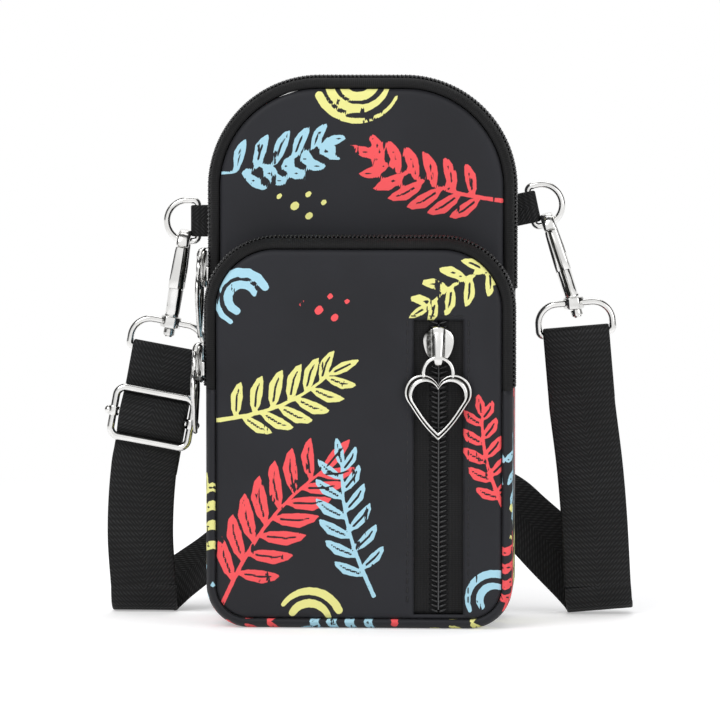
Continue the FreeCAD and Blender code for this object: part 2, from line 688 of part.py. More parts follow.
def strap_loop(length):
    """Webbing over the eye bar at the origin, both layers hanging down."""
    inner = EYE_WIRE + LOOP_PLAY
    half = STRAP_WIDTH / 2
    start = Vector(-half, 0, 0)
    over = rod(inner + WEB, start, X, STRAP_WIDTH).cut(rod(inner, start, X, STRAP_WIDTH))
    over = over.common(block(-half, half, -FAR, FAR, 0, FAR))
    layers = [block(-half, half, y, y + WEB, -length, 0) for y in (-inner - WEB, inner)]
    return joined([over, *layers])


def cut_level(shape, z):
    return shape.cut(block(-FAR, FAR, -FAR, FAR, -FAR, z))


def foot_stations(top, side, floor_x, floor_z):
    """From a drop's top straight down, then back in a quarter turn on the surface."""
    bottom = Vector(floor_x, top.y, floor_z)
    bend_top = top + (bottom - top) * (1 - FOOT_RADIUS / (top.z - floor_z))
    stations = [(top, side, None), (bend_top, side, None)]
    for k in range(1, FOOT_STEPS + 1):
        turn = math.radians(90 * k / FOOT_STEPS)
        middle = bend_top + (bottom - bend_top) * math.sin(turn) + Y * (FOOT_RADIUS * (1 - math.cos(turn)))
        stations.append((middle, side, Y if k == FOOT_STEPS else None))
    return stations


def hank():
    """The strap's spare length, folded up and down in upright runs."""
    bend = HANK_PITCH / 2
    low = WEB / 2 + bend
    first = -HANK_PITCH * (HANK_RUNS - 1) / 2
    path = [stop(first, LEFT_ENTRY_Z, -90)]
    for k in range(HANK_RUNS - 1):
        x = first + HANK_PITCH * k + bend
        path += corner(x, HANK_TOP, bend, -90, 90) if k % 2 == 0 else corner(x, low, -bend, 90, -90)
    path.append(stop(-first, RIGHT_ENTRY_Z, 90))
    y0, y1 = HANK_Y - STRAP_WIDTH / 2, HANK_Y + STRAP_WIDTH / 2
    return sweep(path, [(-WEB / 2, y0), (-WEB / 2, y1), (WEB / 2, y1), (WEB / 2, y0)])


def slide_buckle():
    """Wire frame, its loose bar and the strap's turn over that bar, about the origin."""
    frame = ring_of_wire(BUCKLE_HALF, -BUCKLE_RISE, BUCKLE_RISE, BUCKLE_CORNER, BUCKLE_CORNER, BUCKLE_WIRE)
    sleeves = []
    for x in (-BUCKLE_HALF, BUCKLE_HALF):
        start = Vector(x, 0, -SLEEVE_HEIGHT / 2)
        sleeve = faceted_rod(SLEEVE_OUTER, start, SLEEVE_HEIGHT)
        sleeves.append(sleeve.cut(faceted_rod(SLEEVE_INNER, start, SLEEVE_HEIGHT)))
    reach = BUCKLE_HALF - (SLEEVE_OUTER + SLEEVE_INNER) / 2
    bar = joined([rod(BAR_WIRE, Vector(-reach, 0, 0), X, 2 * reach), *sleeves])
    stand = BUCKLE_WIRE + LOOP_PLAY + WEB / 2
    lean = math.asin(2 * stand / BUCKLE_RISE)
    upper = [
        (stand, BUCKLE_RISE + BUCKLE_WIRE),
        (stand, BUCKLE_RISE),
        (stand * math.cos(lean), BUCKLE_RISE - stand * math.sin(lean)),
        (-stand * math.cos(lean), stand * math.sin(lean)),
    ]
    line = upper + [(-stand, 0)] + [(y, -z) for y, z in reversed(upper)]
    wrap = ribbon([(Vector(0, y, z), X, None) for y, z in line], STRAP_WIDTH)
    return frame, bar, wrap, stand


def strap(left, right):
    frame, bar, wrap, stand = slide_buckle()
    forward = -(LAYER_OFFSET + WEB + LAYER_GAP + stand)
    buckle = left.eye_bar + left.down * BUCKLE_DROP + Y * forward
    left_end = left.eye_bar + left.down * LEFT_LOOP
    right_end = right.eye_bar + right.down * RIGHT_LOOP
    front = Y * -LAYER_OFFSET
    right_side = Chain.turned(X, right.eye_tilt)
    right_floor = WEB / 2 + STRAP_WIDTH / 2 * abs(right_side.z)
    right_top = right_end + front + right.down * JOIN_GAP
    right_x = right_top.x - right.down.x / right.down.z * (right_top.z - right_floor)
    left_top = left_end + front - Z * JOIN_GAP
    left_drop = foot_stations(left_top, X, left_top.x, WEB / 2)
    right_drop = foot_stations(right_top, right_side, right_x, right_floor)
    first = HANK_PITCH * (HANK_RUNS - 1) / 2
    left_run = [(left_drop[-1][0], -X, Y), *stations_from(LEFT_RUN), (Vector(-first, HANK_Y, LEFT_ENTRY_Z), Y, Z)]
    right_run = [right_drop[-1], *stations_from(RIGHT_RUN), (Vector(first, HANK_Y, RIGHT_ENTRY_Z), Y, Z)]
    long_loop = placed(strap_loop(LEFT_LOOP + STRAP_WIDTH), left.eye_tilt, left.eye_bar.x, left.eye_bar.z)
    short_loop = placed(strap_loop(RIGHT_LOOP), right.eye_tilt, right.eye_bar.x, right.eye_bar.z)
    made = {
        "strap_left_loop": cut_level(long_loop, left_end.z),
        "strap_right_loop": short_loop,
        "strap_left_drop": ribbon(left_drop, STRAP_WIDTH),
        "strap_right_drop": ribbon(right_drop, STRAP_WIDTH),
        "strap_left_run": ribbon(left_run, STRAP_WIDTH),
        "strap_right_run": ribbon(right_run, STRAP_WIDTH),
        "strap_hank": hank(),
    }
    for name, shape in (("slide_buckle_frame", frame), ("slide_buckle_bar", bar), ("strap_buckle_turn", wrap)):
        turned = shape.copy()
        turned.rotate(ORIGIN, Y, left.eye_tilt)
        made[name] = turned.translated(buckle)
    return made


def stations_from(rows_of_run):
    return [(Vector(*middle), Vector(*across), None) for middle, across in rows_of_run]


def main():
    chains = {name: Chain(**values) for name, values in SIDES.items()}
    nodes = {**main_compartment(), **front_compartment(), **pocket_zip(), **sliders_and_pulls()}
    for name, chain in chains.items():
        nodes.update(chain.parts(name))
    nodes.update(strap(chains["left"], chains["right"]))
    os.makedirs("parts", exist_ok=True)
    for name, shape in nodes.items():
        shape.exportStep("parts/" + name + ".step")
    for name, chain in chains.items():
        print(name, "bar", chain.bar, "contact", chain.contact, "boss", chain.boss, "eye bar", chain.eye_bar)


main()
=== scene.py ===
"""Dresses the crossbody phone pouch: printed cloth, zips, nickel hardware, strap and studio.

Lengths are in millimetres and angles in degrees unless a docstring says otherwise.
"""
import logging
import math
from collections.abc import Iterator
from contextlib import contextmanager
from dataclasses import dataclass
from enum import Enum

import bmesh
import bpy
import numpy as np
from mathutils import Matrix, Vector


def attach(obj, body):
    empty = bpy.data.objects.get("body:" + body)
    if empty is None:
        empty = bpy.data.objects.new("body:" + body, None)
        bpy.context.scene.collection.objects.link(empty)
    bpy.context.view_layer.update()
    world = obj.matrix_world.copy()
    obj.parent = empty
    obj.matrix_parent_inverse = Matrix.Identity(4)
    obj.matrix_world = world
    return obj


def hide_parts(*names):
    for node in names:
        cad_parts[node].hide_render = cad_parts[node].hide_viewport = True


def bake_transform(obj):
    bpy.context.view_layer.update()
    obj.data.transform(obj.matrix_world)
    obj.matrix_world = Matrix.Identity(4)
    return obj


MM = 0.001
LOG = logging.getLogger("pouch")
UP = np.array([0.0, 0.0, 1.0])
BACK = np.array([0.0, 1.0, 0.0])
FORWARD = (0, -1, 0)
MERGE = 0.002  # points closer than this become one
OUTSIDE = -50.0  # value of a print field far from every mark
GROUND_GAP = 0.08  # least height of the webbing over the floor
NICKEL = "bright_nickel"
SHARP = {"limit_method": "ANGLE"}  # only sharp edges are rounded


class Body(Enum):
    """Rigid bodies of the frame that pieces ride on."""

    POUCH = "pouch"
    MAIN_FLAP = "main_flap"
    FRONT_FLAP = "front_flap"


class Tone(Enum):
    """Print colours, each with its vertex field."""

    CORAL = "print_coral"
    YELLOW = "print_yellow"
    BLUE = "print_blue"
    INK = "print_ink"


# ---------------------------------------------------------------- shader graphs
class Graph:
    """Short-hand for placing and linking shader nodes."""

    def __init__(self, tree: bpy.types.NodeTree) -> None:
        """Keep the tree that nodes are placed in."""
        self.tree = tree

    def put(self, socket: bpy.types.NodeSocket, value) -> None:
        """Link a socket or set its value."""
        if isinstance(value, bpy.types.NodeSocket):
            self.tree.links.new(value, socket)
        else:
            socket.default_value = value

    def node(self, kind: str, inputs: dict | None = None, **settings) -> bpy.types.Node:
        """Place one node.

        Args:
            kind: Node class without its ShaderNode prefix.
            inputs: Values or sockets by input name or index.
            settings: Properties of the node.

        Returns:
            The new node.
        """
        made = self.tree.nodes.new("ShaderNode" + kind)
        for key, value in settings.items():
            setattr(made, key, value)
        for key, value in (inputs or {}).items():
            self.put(made.inputs[key], value)
        return made

    def calc(self, operation: str, *values) -> bpy.types.NodeSocket:
        """One Math node's result."""
        return self.node("Math", dict(enumerate(values)), operation=operation).outputs[0]

    def spread(self, value, low: float, high: float, to_low: float = 0.0,
               to_high: float = 1.0) -> bpy.types.NodeSocket:
        """A value mapped from one range to another, eased and clamped."""
        made = self.node("MapRange", {"Value": value, "From Min": low, "From Max": high,
                                      "To Min": to_low, "To Max": to_high},
                         interpolation_type="SMOOTHSTEP")
        return made.outputs["Result"]

    def mix(self, factor, first, second) -> bpy.types.NodeSocket:
        """Two colours mixed."""
        made = self.node("Mix", {0: factor, 6: first, 7: second}, data_type="RGBA")
        return made.outputs[2]

    def noise(self, place, scale: float, detail: float = 3.0,
              roughness: float = 0.55) -> bpy.types.NodeSocket:
        """Noise at a place."""
        made = self.node("TexNoise", {"Vector": place, "Scale": scale, "Detail": detail,
                                      "Roughness": roughness})
        return made.outputs["Fac"]

    def tinted(self, colour: tuple, shade: bpy.types.NodeSocket) -> bpy.types.NodeSocket:
        """A colour multiplied by a grey shade."""
        grey = self.node("CombineColor", {0: shade, 1: shade, 2: shade}).outputs[0]
        mixed = self.node("Mix", {0: 1.0, 6: colour, 7: grey}, data_type="RGBA", blend_type="MULTIPLY")
        return mixed.outputs[2]

    def relief(self, shader: bpy.types.Node, height, strength: float, distance: float) -> None:
        """Feed a height to a shader's normal, at a distance in metres."""
        bump = self.node("Bump", {"Height": height, "Strength": strength, "Distance": distance})
        self.put(shader.inputs["Normal"], bump.outputs[0])


def emptied(owner: bpy.types.Material | bpy.types.World) -> Graph:
    """The graph of a material or world, switched on and cleared."""
    owner.use_nodes = True
    owner.node_tree.nodes.clear()
    return Graph(owner.node_tree)


def new_group(name: str, inputs: dict[str, float], outputs: list[str]) -> tuple:
    """Start a shader node group with number sockets.

    Args:
        name: The group's name.
        inputs: Input names with their first values.
        outputs: Output names.

    Returns:
        Its graph, its group input node and its group output node.
    """
    tree = bpy.data.node_groups.new(name, "ShaderNodeTree")
    for key, value in inputs.items():
        socket = tree.interface.new_socket(name=key, in_out="INPUT", socket_type="NodeSocketFloat")
        socket.default_value = value
    for key in outputs:
        tree.interface.new_socket(name=key, in_out="OUTPUT", socket_type="NodeSocketFloat")
    graph = Graph(tree)
    start = tree.nodes.new("NodeGroupInput")
    end = tree.nodes.new("NodeGroupOutput")
    return graph, start, end


def rib_group() -> bpy.types.NodeTree:
    """Woven ribs on a UV map in metres: slanted both ways from the middle, broken by the weft.

    Returns:
        A group with Ribs, Slant, Weft and Fuzz in, Height and Shade out; Shade is painted shade in the
        grooves, painted highlight on the ribs and patches of painted sheen.
    """
    graph, start, end = new_group("woven_ribs", {"Ribs": 1400.0, "Slant": 300.0, "Weft": 900.0,
                                                 "Fuzz": 0.35}, ["Height", "Shade"])
    place = graph.node("UVMap").outputs[0]
    axes = graph.node("SeparateXYZ", {0: place})
    along, across = axes.outputs[0], graph.calc("ABSOLUTE", axes.outputs[1])
    waver = graph.calc("MULTIPLY", graph.noise(place, 260.0), 0.9)
    turns = graph.calc("ADD", graph.calc("MULTIPLY", across, start.outputs["Ribs"]),
                       graph.calc("MULTIPLY", along, start.outputs["Slant"]))
    ribs = graph.calc("SINE", graph.calc("MULTIPLY", graph.calc("ADD", turns, waver), math.tau))
    weft_turns = graph.calc("MULTIPLY", along, start.outputs["Weft"])
    weft = graph.calc("SINE", graph.calc("MULTIPLY", weft_turns, math.tau))
    ribs = graph.calc("MULTIPLY_ADD", ribs, 0.5, 0.5)
    weft = graph.calc("MULTIPLY_ADD", weft, 0.34, 0.66)
    fuzz = graph.calc("MULTIPLY", graph.noise(place, 5200.0, 2.0), start.outputs["Fuzz"])
    height = graph.calc("ADD", graph.calc("MULTIPLY", ribs, weft), fuzz)
    # patches of painted sheen, lighter and darker across the webbing
    patches = graph.spread(graph.noise(place, 55.0, 2.0), 0.3, 0.7, 0.75, 1.15)
    graph.put(end.inputs["Height"], height)
    # painted shade in the grooves and painted highlight on the ribs, from the weave's height
    shade = graph.calc("MULTIPLY", graph.spread(height, 0.0, 1.2, 0.35, 1.85), patches)
    graph.put(end.inputs["Shade"], shade)
    return graph.tree


def grain_group() -> bpy.types.NodeTree:
    """Fine grain with broad patches on Object coordinates, for cloth, metal and plastic.

    Returns:
        A group with Grain and Patch in, Height and Patches out.
    """
    graph, start, end = new_group("fine_grain", {"Grain": 3000.0, "Patch": 40.0}, ["Height", "Patches"])
    place = graph.node("TexCoord").outputs["Object"]
    fine = graph.node("TexNoise", {"Vector": place, "Scale": start.outputs["Grain"], "Detail": 2.0})
    broad = graph.node("TexNoise", {"Vector": place, "Scale": start.outputs["Patch"], "Detail": 3.0})
    graph.put(end.inputs["Height"], fine.outputs["Fac"])
    graph.put(end.inputs["Patches"], graph.spread(broad.outputs["Fac"], 0.3, 0.7))
    return graph.tree


class Shelf:
    """Node groups and materials, each made once."""

    groups: dict[str, bpy.types.NodeTree] = {}
    made: dict[str, bpy.types.Material] = {}

    @classmethod
    def group(cls, graph: Graph, name: str, values: dict[str, float]) -> bpy.types.Node:
        """Place one of the shared groups with its own values."""
        if not cls.groups:
            cls.groups = {"ribs": rib_group(), "grain": grain_group()}
        made = graph.node("Group", node_tree=cls.groups[name])
        for key, value in values.items():
            made.inputs[key].default_value = value
        return made

    @classmethod
    def start(cls, name: str) -> tuple[Graph, bpy.types.Node, bpy.types.Material]:
        """A new material with its shader and output in place."""
        material = bpy.data.materials.new(name)
        graph = emptied(material)
        shader = graph.node("BsdfPrincipled")
        out = graph.node("OutputMaterial")
        graph.tree.links.new(shader.outputs[0], out.inputs[0])
        cls.made[name] = material
        return graph, shader, material


@dataclass(frozen=True)
class PrintedCloth:
    """Smooth coated nylon, printed with sprigs, arcs and dots in three colours."""

    ground: tuple = (0.0160, 0.0165, 0.0202, 1.0)
    coral: tuple = (0.95, 0.105, 0.115, 1.0)
    yellow: tuple = (0.86, 0.84, 0.30, 1.0)
    blue: tuple = (0.42, 0.71, 0.84, 1.0)
    edge: float = 0.10
    ragged: float = 0.40

    def build(self) -> bpy.types.Material:
        """Make the cloth material.

        Returns:
            The material, whose print follows the mesh's tone fields.
        """
        graph, shader, material = Shelf.start("printed_cloth")
        place = graph.node("TexCoord").outputs["Object"]
        grain = Shelf.group(graph, "grain", {"Grain": 2600.0, "Patch": 28.0})
        patches = grain.outputs["Patches"]
        ground = graph.tinted(self.ground, graph.spread(patches, 0.0, 1.0, 0.86, 1.14))
        centred = graph.calc("SUBTRACT", graph.noise(place, 520.0, 4.0), 0.5)
        wobble = graph.calc("MULTIPLY", centred, self.ragged)
        stretch = graph.node("Mapping", {"Vector": place, "Scale": (1.0, 1.0, 0.35)}).outputs[0]
        dry = graph.spread(graph.noise(stretch, 330.0, 3.0, 0.6), 0.635, 0.66)
        colour = ground
        paints = ((Tone.CORAL, self.coral), (Tone.YELLOW, self.yellow), (Tone.BLUE, self.blue))
        for tone, paint in paints:
            depth = graph.node("Attribute", attribute_name=tone.value).outputs["Fac"]
            inside = graph.spread(graph.calc("ADD", depth, wobble), 0.0, self.edge, 0.0, 1.0)
            painted = graph.calc("MULTIPLY", inside, graph.calc("SUBTRACT", 1.0, dry))
            colour = graph.mix(painted, colour, paint)
        ink = graph.node("Attribute", attribute_name=Tone.INK.value).outputs["Fac"]
        ragged_ink = graph.calc("ADD", ink, graph.calc("MULTIPLY", wobble, 0.5))
        colour = graph.mix(graph.spread(ragged_ink, 0.0, self.edge), colour, ground)
        graph.put(shader.inputs["Base Color"], colour)
        threads = graph.node("TexWave", {"Vector": place, "Scale": 420.0, "Distortion": 0.4},
                             wave_type="BANDS", bands_direction="DIAGONAL").outputs["Fac"]
        height = graph.calc("ADD", graph.calc("MULTIPLY", threads, 0.5), grain.outputs["Height"])
        graph.relief(shader, height, 0.16, 0.00006)
        graph.put(shader.inputs["Roughness"], graph.spread(patches, 0.0, 1.0, 0.50, 0.60))
        graph.put(shader.inputs["Specular IOR Level"], 0.24)
        graph.put(shader.inputs["Sheen Weight"], 0.05)
        graph.put(shader.inputs["Sheen Roughness"], 0.4)
        return material


@dataclass(frozen=True)
class Woven:
    """Ribbed weave for webbing and zip tape."""

    name: str
    colour: tuple
    ribs: float = 800.0
    slant: float = 760.0
    weft: float = 520.0
    bump: float = 0.75
    rough: float = 0.62
    depth: float = 0.00016

    def build(self) -> bpy.types.Material:
        """Make the woven material.

        Returns:
            The material, which reads a UV map in metres.
        """
        graph, shader, material = Shelf.start(self.name)
        values = {"Ribs": self.ribs, "Slant": self.slant, "Weft": self.weft}
        ribs = Shelf.group(graph, "ribs", values)
        height = ribs.outputs["Height"]
        # the Shade output is painted shade in the grooves, painted highlight on the ribs and painted sheen
        graph.put(shader.inputs["Base Color"], graph.tinted(self.colour, ribs.outputs["Shade"]))
        graph.relief(shader, height, self.bump, self.depth)
        rough = graph.spread(height, 0.0, 1.2, self.rough + 0.12, self.rough - 0.08)
        graph.put(shader.inputs["Roughness"], rough)
        graph.put(shader.inputs["Specular IOR Level"], 0.24)
        return material


@dataclass(frozen=True)
class Nickel:
    """Bright nickel plate with faint handling marks, and painted shade in a dark colour where the mesh's
    shade field asks for it.
    """

    colour: tuple = (0.80, 0.795, 0.78, 1.0)
    # dark colour of the painted shade
    painted_shade_colour: tuple = (0.030, 0.030, 0.027, 1.0)

    def build(self) -> bpy.types.Material:
        """Make the metal material.

        Returns:
            The material.
        """
        graph, shader, material = Shelf.start(NICKEL)
        grain = Shelf.group(graph, "grain", {"Grain": 900.0, "Patch": 150.0})
        patches = grain.outputs["Patches"]
        colour = graph.tinted(self.colour, graph.spread(patches, 0.0, 1.0, 0.90, 1.0))
        place = graph.node("TexCoord").outputs["Object"]
        # painted shade: the mesh's field, mottled by noise, mixes in the dark colour on shaded facets,
        # creases, grooves and rims
        cavity = graph.node("Attribute", attribute_name="cavity").outputs["Fac"]
        centred = graph.calc("SUBTRACT", graph.noise(place, 900.0, 3.0), 0.5)
        speckle = graph.calc("MULTIPLY", graph.calc("MULTIPLY", centred, 0.9), cavity)
        dark = graph.spread(graph.calc("ADD", cavity, speckle), 0.25, 0.75)
        graph.put(shader.inputs["Base Color"], graph.mix(dark, colour, self.painted_shade_colour))
        graph.put(shader.inputs["Metallic"], 1.0)
        graph.put(shader.inputs["Roughness"], graph.spread(patches, 0.0, 1.0, 0.11, 0.20))
        graph.relief(shader, grain.outputs["Height"], 0.06, 0.00008)
        return material


@dataclass(frozen=True)
class Plain:
    """Moulded coil, thread or lining in one dark colour with grain."""

    name: str
    colour: tuple
    rough: float
    grain: float = 2500.0
    bump: float = 0.2

    def build(self) -> bpy.types.Material:
        """Make the plain material.

        Returns:
            The material.
        """
        graph, shader, material = Shelf.start(self.name)
        grain = Shelf.group(graph, "grain", {"Grain": self.grain, "Patch": 90.0})
        patches = grain.outputs["Patches"]
        shade = graph.spread(patches, 0.0, 1.0, 0.8, 1.2)
        graph.put(shader.inputs["Base Color"], graph.tinted(self.colour, shade))
        rough = graph.spread(patches, 0.0, 1.0, self.rough - 0.05, self.rough + 0.05)
        graph.put(shader.inputs["Roughness"], rough)
        graph.relief(shader, grain.outputs["Height"], self.bump, 0.00008)
        return material


FINISHES = (
    PrintedCloth(),
    Woven("webbing", (0.0105, 0.0107, 0.0112, 1.0)),
    Woven("zip_tape", (0.0080, 0.0080, 0.0085, 1.0), ribs=2100.0, slant=0.0, weft=1500.0, bump=0.45,
          rough=0.70),
    Nickel(),
    Plain("zip_coil", (0.012, 0.012, 0.013, 1.0), 0.28),
    Plain("thread", (0.009, 0.009, 0.010, 1.0), 0.6),
    # pale grey of the pocket zip's centre cord: a painted highlight where the rows meet
    Plain("highlight_cord", (0.055, 0.055, 0.057, 1.0), 0.5),
    Plain("lining", (0.030, 0.030, 0.033, 1.0), 0.65),
)


# ---------------------------------------------------------------- mesh helpers
def deselect() -> None:
    """Leave nothing selected."""
    for thing in bpy.context.selected_objects:
        thing.select_set(False)


def pick(thing: bpy.types.Object) -> None:
    """Make one object the selected and active one."""
    deselect()
    thing.select_set(True)
    bpy.context.view_layer.objects.active = thing


@contextmanager
def editing(mesh: bpy.types.Mesh) -> Iterator[bmesh.types.BMesh]:
    """Open a mesh for work and write it back.

    Args:
        mesh: The mesh.

    Yields:
        Its working copy.
    """
    work = bmesh.new()
    work.from_mesh(mesh)
    yield work
    work.to_mesh(mesh)
    work.free()


def new_piece(name: str, points: np.ndarray, faces: list, material: str,
              uvs: np.ndarray | None = None, fields: dict[str, np.ndarray] | None = None,
              fix: bool = True) -> bpy.types.Object:
    """A mesh object from millimetre points.

    Args:
        name: Piece name.
        points: (n, 3) array in millimetres.
        faces: Tuples of point numbers.
        material: Name of a finish.
        uvs: (n, 2) array in metres, if the finish reads a UV map.
        fields: Values per point by attribute name.
        fix: Whether face directions are recalculated.

    Returns:
        The object, linked to the scene.
    """
    mesh = bpy.data.meshes.new(name)
    mesh.from_pydata((np.asarray(points, float) * MM).tolist(), [], faces)
    for key, values in (fields or {}).items():
        attribute = mesh.attributes.new(key, "FLOAT", "POINT")
        attribute.data.foreach_set("value", np.asarray(values, np.float32))
    if uvs is not None:
        layer = mesh.uv_layers.new(name="UVMap")
        corners = np.zeros(len(mesh.loops), np.int32)
        mesh.loops.foreach_get("vertex_index", corners)
        layer.data.foreach_set("uv", np.asarray(uvs, np.float32)[corners].ravel())
    mesh.polygons.foreach_set("use_smooth", [True] * len(mesh.polygons))
    mesh.materials.append(Shelf.made[material])
    thing = bpy.data.objects.new(name, mesh)
    bpy.context.scene.collection.objects.link(thing)
    if fix:
        with editing(mesh) as work:
            bmesh.ops.recalc_face_normals(work, faces=work.faces)
    return thing


def grid_faces(rows: int, columns: int, wrap: bool = False, loop: bool = False) -> list:
    """Quads between rows of points.

    Args:
        rows: Number of rows.
        columns: Points in each row.
        wrap: Whether each row closes on itself.
        loop: Whether the last row joins the first.

    Returns:
        Tuples of point numbers.
    """
    faces = []
    for i in range(rows if loop else rows - 1):
        k = (i + 1) % rows
        for j in range(columns if wrap else columns - 1):
            m = (j + 1) % columns
            faces.append((i * columns + j, i * columns + m, k * columns + m, k * columns + j))
    return faces


def tube_faces(rows: int, columns: int) -> list:
    """Faces of a closed tube: quads between its rings and a cap on each end."""
    last = columns * (rows - 1)
    caps = [tuple(range(columns)), tuple(reversed(range(last, last + columns)))]
    return grid_faces(rows, columns, wrap=True) + caps


def copies(name: str, shapes: list[np.ndarray], cells: list, material: str) -> bpy.types.Object:
    """One mesh from many shapes that share one list of faces.

    Args:
        name: Piece name.
        shapes: Points of each shape, equally many.
        cells: Faces of one shape.
        material: Name of a finish.

    Returns:
        The mesh object.
    """
    size = len(shapes[0])
    faces = [tuple(k * size + i for i in cell) for k in range(len(shapes)) for cell in cells]
    return new_piece(name, np.vstack(shapes), faces, material)


def run_lengths(points: np.ndarray) -> np.ndarray:
    """Distance along a chain of points from its start to each of them."""
    return np.concatenate([[0.0], np.cumsum(np.linalg.norm(np.diff(points, axis=0), axis=1))])


def marks(start: float, end: float, pitch: float) -> Iterator[float]:
    """Places from a start, one pitch apart, that lie before an end."""
    while start < end:
        yield start
        start += pitch


def squared(value: float, power: float) -> float:
    """A sine or cosine pushed towards a square outline."""
    return math.copysign(abs(value) ** power, value)


def use_modifier(thing: bpy.types.Object, kind: str, **settings) -> None:
    """Add one modifier and apply it."""
    pick(thing)
    made = thing.modifiers.new(kind.lower(), kind)
    for key, value in settings.items():
        setattr(made, key, value)
    bpy.ops.object.modifier_apply(modifier=made.name)


def settle(thing: bpy.types.Object) -> None:
    """Put an object's place, turn and size into its mesh."""
    pick(thing)
    bpy.ops.object.transform_apply(location=True, rotation=True, scale=True)


def smooth_by_angle(thing: bpy.types.Object, degrees: float = 35.0) -> None:
    """Smooth shading with sharp edges past an angle."""
    pick(thing)
    bpy.ops.object.shade_smooth_by_angle(angle=math.radians(degrees))


def finish_piece(thing: bpy.types.Object, body: str, replaced: tuple = ()) -> bpy.types.Object:
    """Let a finished piece ride a body and stand for its CAD nodes.

    Args:
        thing: The piece.
        body: Body that it rides.
        replaced: CAD nodes that it stands for.

    Returns:
        The piece.
    """
    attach(thing, body)
    if replaced:
        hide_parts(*replaced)
    LOG.info("piece %s rides %s", thing.name, body)
    return thing


def bend_piece(thing: bpy.types.Object, bodies: tuple[str, str], start: tuple, end: tuple,
               replaced: tuple = ()) -> bpy.types.Object:
    """Put a finished piece's place into its mesh and hide the CAD nodes that it stands for.

    Args:
        thing: The piece.
        bodies: Body at the start and body at the end.
        start: Not used.
        end: Not used.
        replaced: CAD nodes that it stands for.

    Returns:
        The piece.
    """
    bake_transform(thing)
    if replaced:
        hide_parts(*replaced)
    LOG.info("piece %s bends from %s to %s", thing.name, *bodies)
    return thing


def join(things: list, name: str) -> bpy.types.Object:
    """Join several mesh objects into the first."""
    deselect()
    for thing in things:
        thing.select_set(True)
    bpy.context.view_layer.objects.active = things[0]
    bpy.ops.object.join()
    joined = bpy.context.view_layer.objects.active
    joined.name = joined.data.name = name
    return joined


def stock(kind: str, place: tuple = (0, 0, 0), scale: tuple = (), bevel: float = 0.0, steps: int = 2,
          limit: dict | None = None, **settings) -> bpy.types.Object:
    """A primitive with its place and size put into its mesh and its edges rounded.

    Args:
        kind: Primitive, such as cube.
        place: Its middle.
        scale: Its size along each axis, for a cube of side 1 metre.
        bevel: Width of the rounding, or 0 for none.
        steps: Steps across the rounding.
        limit: Further settings of the rounding.
        settings: Further settings of the primitive, in metres.

    Returns:
        The mesh object.
    """
    deselect()
    if scale:
        settings["size"] = 1.0
    getattr(bpy.ops.mesh, f"primitive_{kind}_add")(location=[c * MM for c in place], **settings)
    thing = bpy.context.active_object
    if scale:
        thing.scale = [c * MM for c in scale]
    settle(thing)
    if bevel:
        use_modifier(thing, "BEVEL", width=bevel * MM, segments=steps, **(limit or {}))
    return thing


def turned(radius: float, deep: float, place: tuple = (0, 0, 0), vertices: int = 24,
           **settings) -> bpy.types.Object:
    """A cylinder by its radius and depth, with stock's other settings."""
    return stock("cylinder", place, vertices=vertices, radius=radius * MM, depth=deep * MM, **settings)


def plated(parts: list, name: str) -> bpy.types.Object:
    """Join the parts of one casting and give them the nickel finish."""
    for part in parts:
        part.data.materials.clear()
        part.data.materials.append(Shelf.made[NICKEL])
    return join(parts, name)


def dressed_copy(node: str, name: str, material: str, bevel: float, segments: int = 3) -> bpy.types.Object:
    """A merged copy of a CAD node's mesh with rounded edges.

    Args:
        node: CAD node.
        name: Name of the copy.
        material: Name of a finish.
        bevel: Width of the rounding in millimetres.
        segments: Steps across the rounding.

    Returns:
        The new object.
    """
    source = bpy.data.objects[node].data if node in bpy.data.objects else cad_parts[node].data
    thing = bpy.data.objects.new(name, source.copy())
    bpy.context.scene.collection.objects.link(thing)
    thing.data.materials.clear()
    thing.data.materials.append(Shelf.made[material])
    with editing(thing.data) as work:
        bmesh.ops.remove_doubles(work, verts=work.verts, dist=0.004 * MM)
        bmesh.ops.dissolve_limit(work, angle_limit=math.radians(3), verts=work.verts, edges=work.edges)
    use_modifier(thing, "BEVEL", width=bevel * MM, segments=segments, limit_method="ANGLE",
                 angle_limit=math.radians(32), use_clamp_overlap=True)
    smooth_by_angle(thing, 40)
    return thing


# ---------------------------------------------------------------- paths round the pouch
@dataclass
class Path:
    """Points (x, z) with outward normals, clockwise seen from the front."""

    points: np.ndarray
    normals: np.ndarray

    @property
    def lengths(self) -> np.ndarray:
        """Distance from the start to each point."""
        return run_lengths(self.points)

    def at(self, distance: float) -> tuple[np.ndarray, np.ndarray]:
        """Point and outward normal at a distance along the path."""
        lengths = self.lengths
        point = np.array([np.interp(distance, lengths, self.points[:, k]) for k in (0, 1)])
        normal = np.array([np.interp(distance, lengths, self.normals[:, k]) for k in (0, 1)])
        return point, normal / np.linalg.norm(normal)

    def __add__(self, other: "Path") -> "Path":
        """This path followed by another that starts where it ends."""
        return Path(np.vstack([self.points, other.points[1:]]), np.vstack([self.normals, other.normals[1:]]))


def straight(start: tuple, end: tuple, angle: float, step: float = 1.6) -> Path:
    """A straight stretch.

    Args:
        start: First (x, z) point.
        end: Last (x, z) point.
        angle: Outward heading: -90 left, 0 up, 90 right, 180 down.
        step: Distance between points.

    Returns:
        The stretch.
    """
    a, b = np.array(start, float), np.array(end, float)
    count = max(1, round(np.linalg.norm(b - a) / step))
    share = np.linspace(0, 1, count + 1)[:, None]
    normal = np.array([math.sin(math.radians(angle)), math.cos(math.radians(angle))])
    return Path(a + (b - a) * share, np.repeat(normal[None, :], count + 1, axis=0))


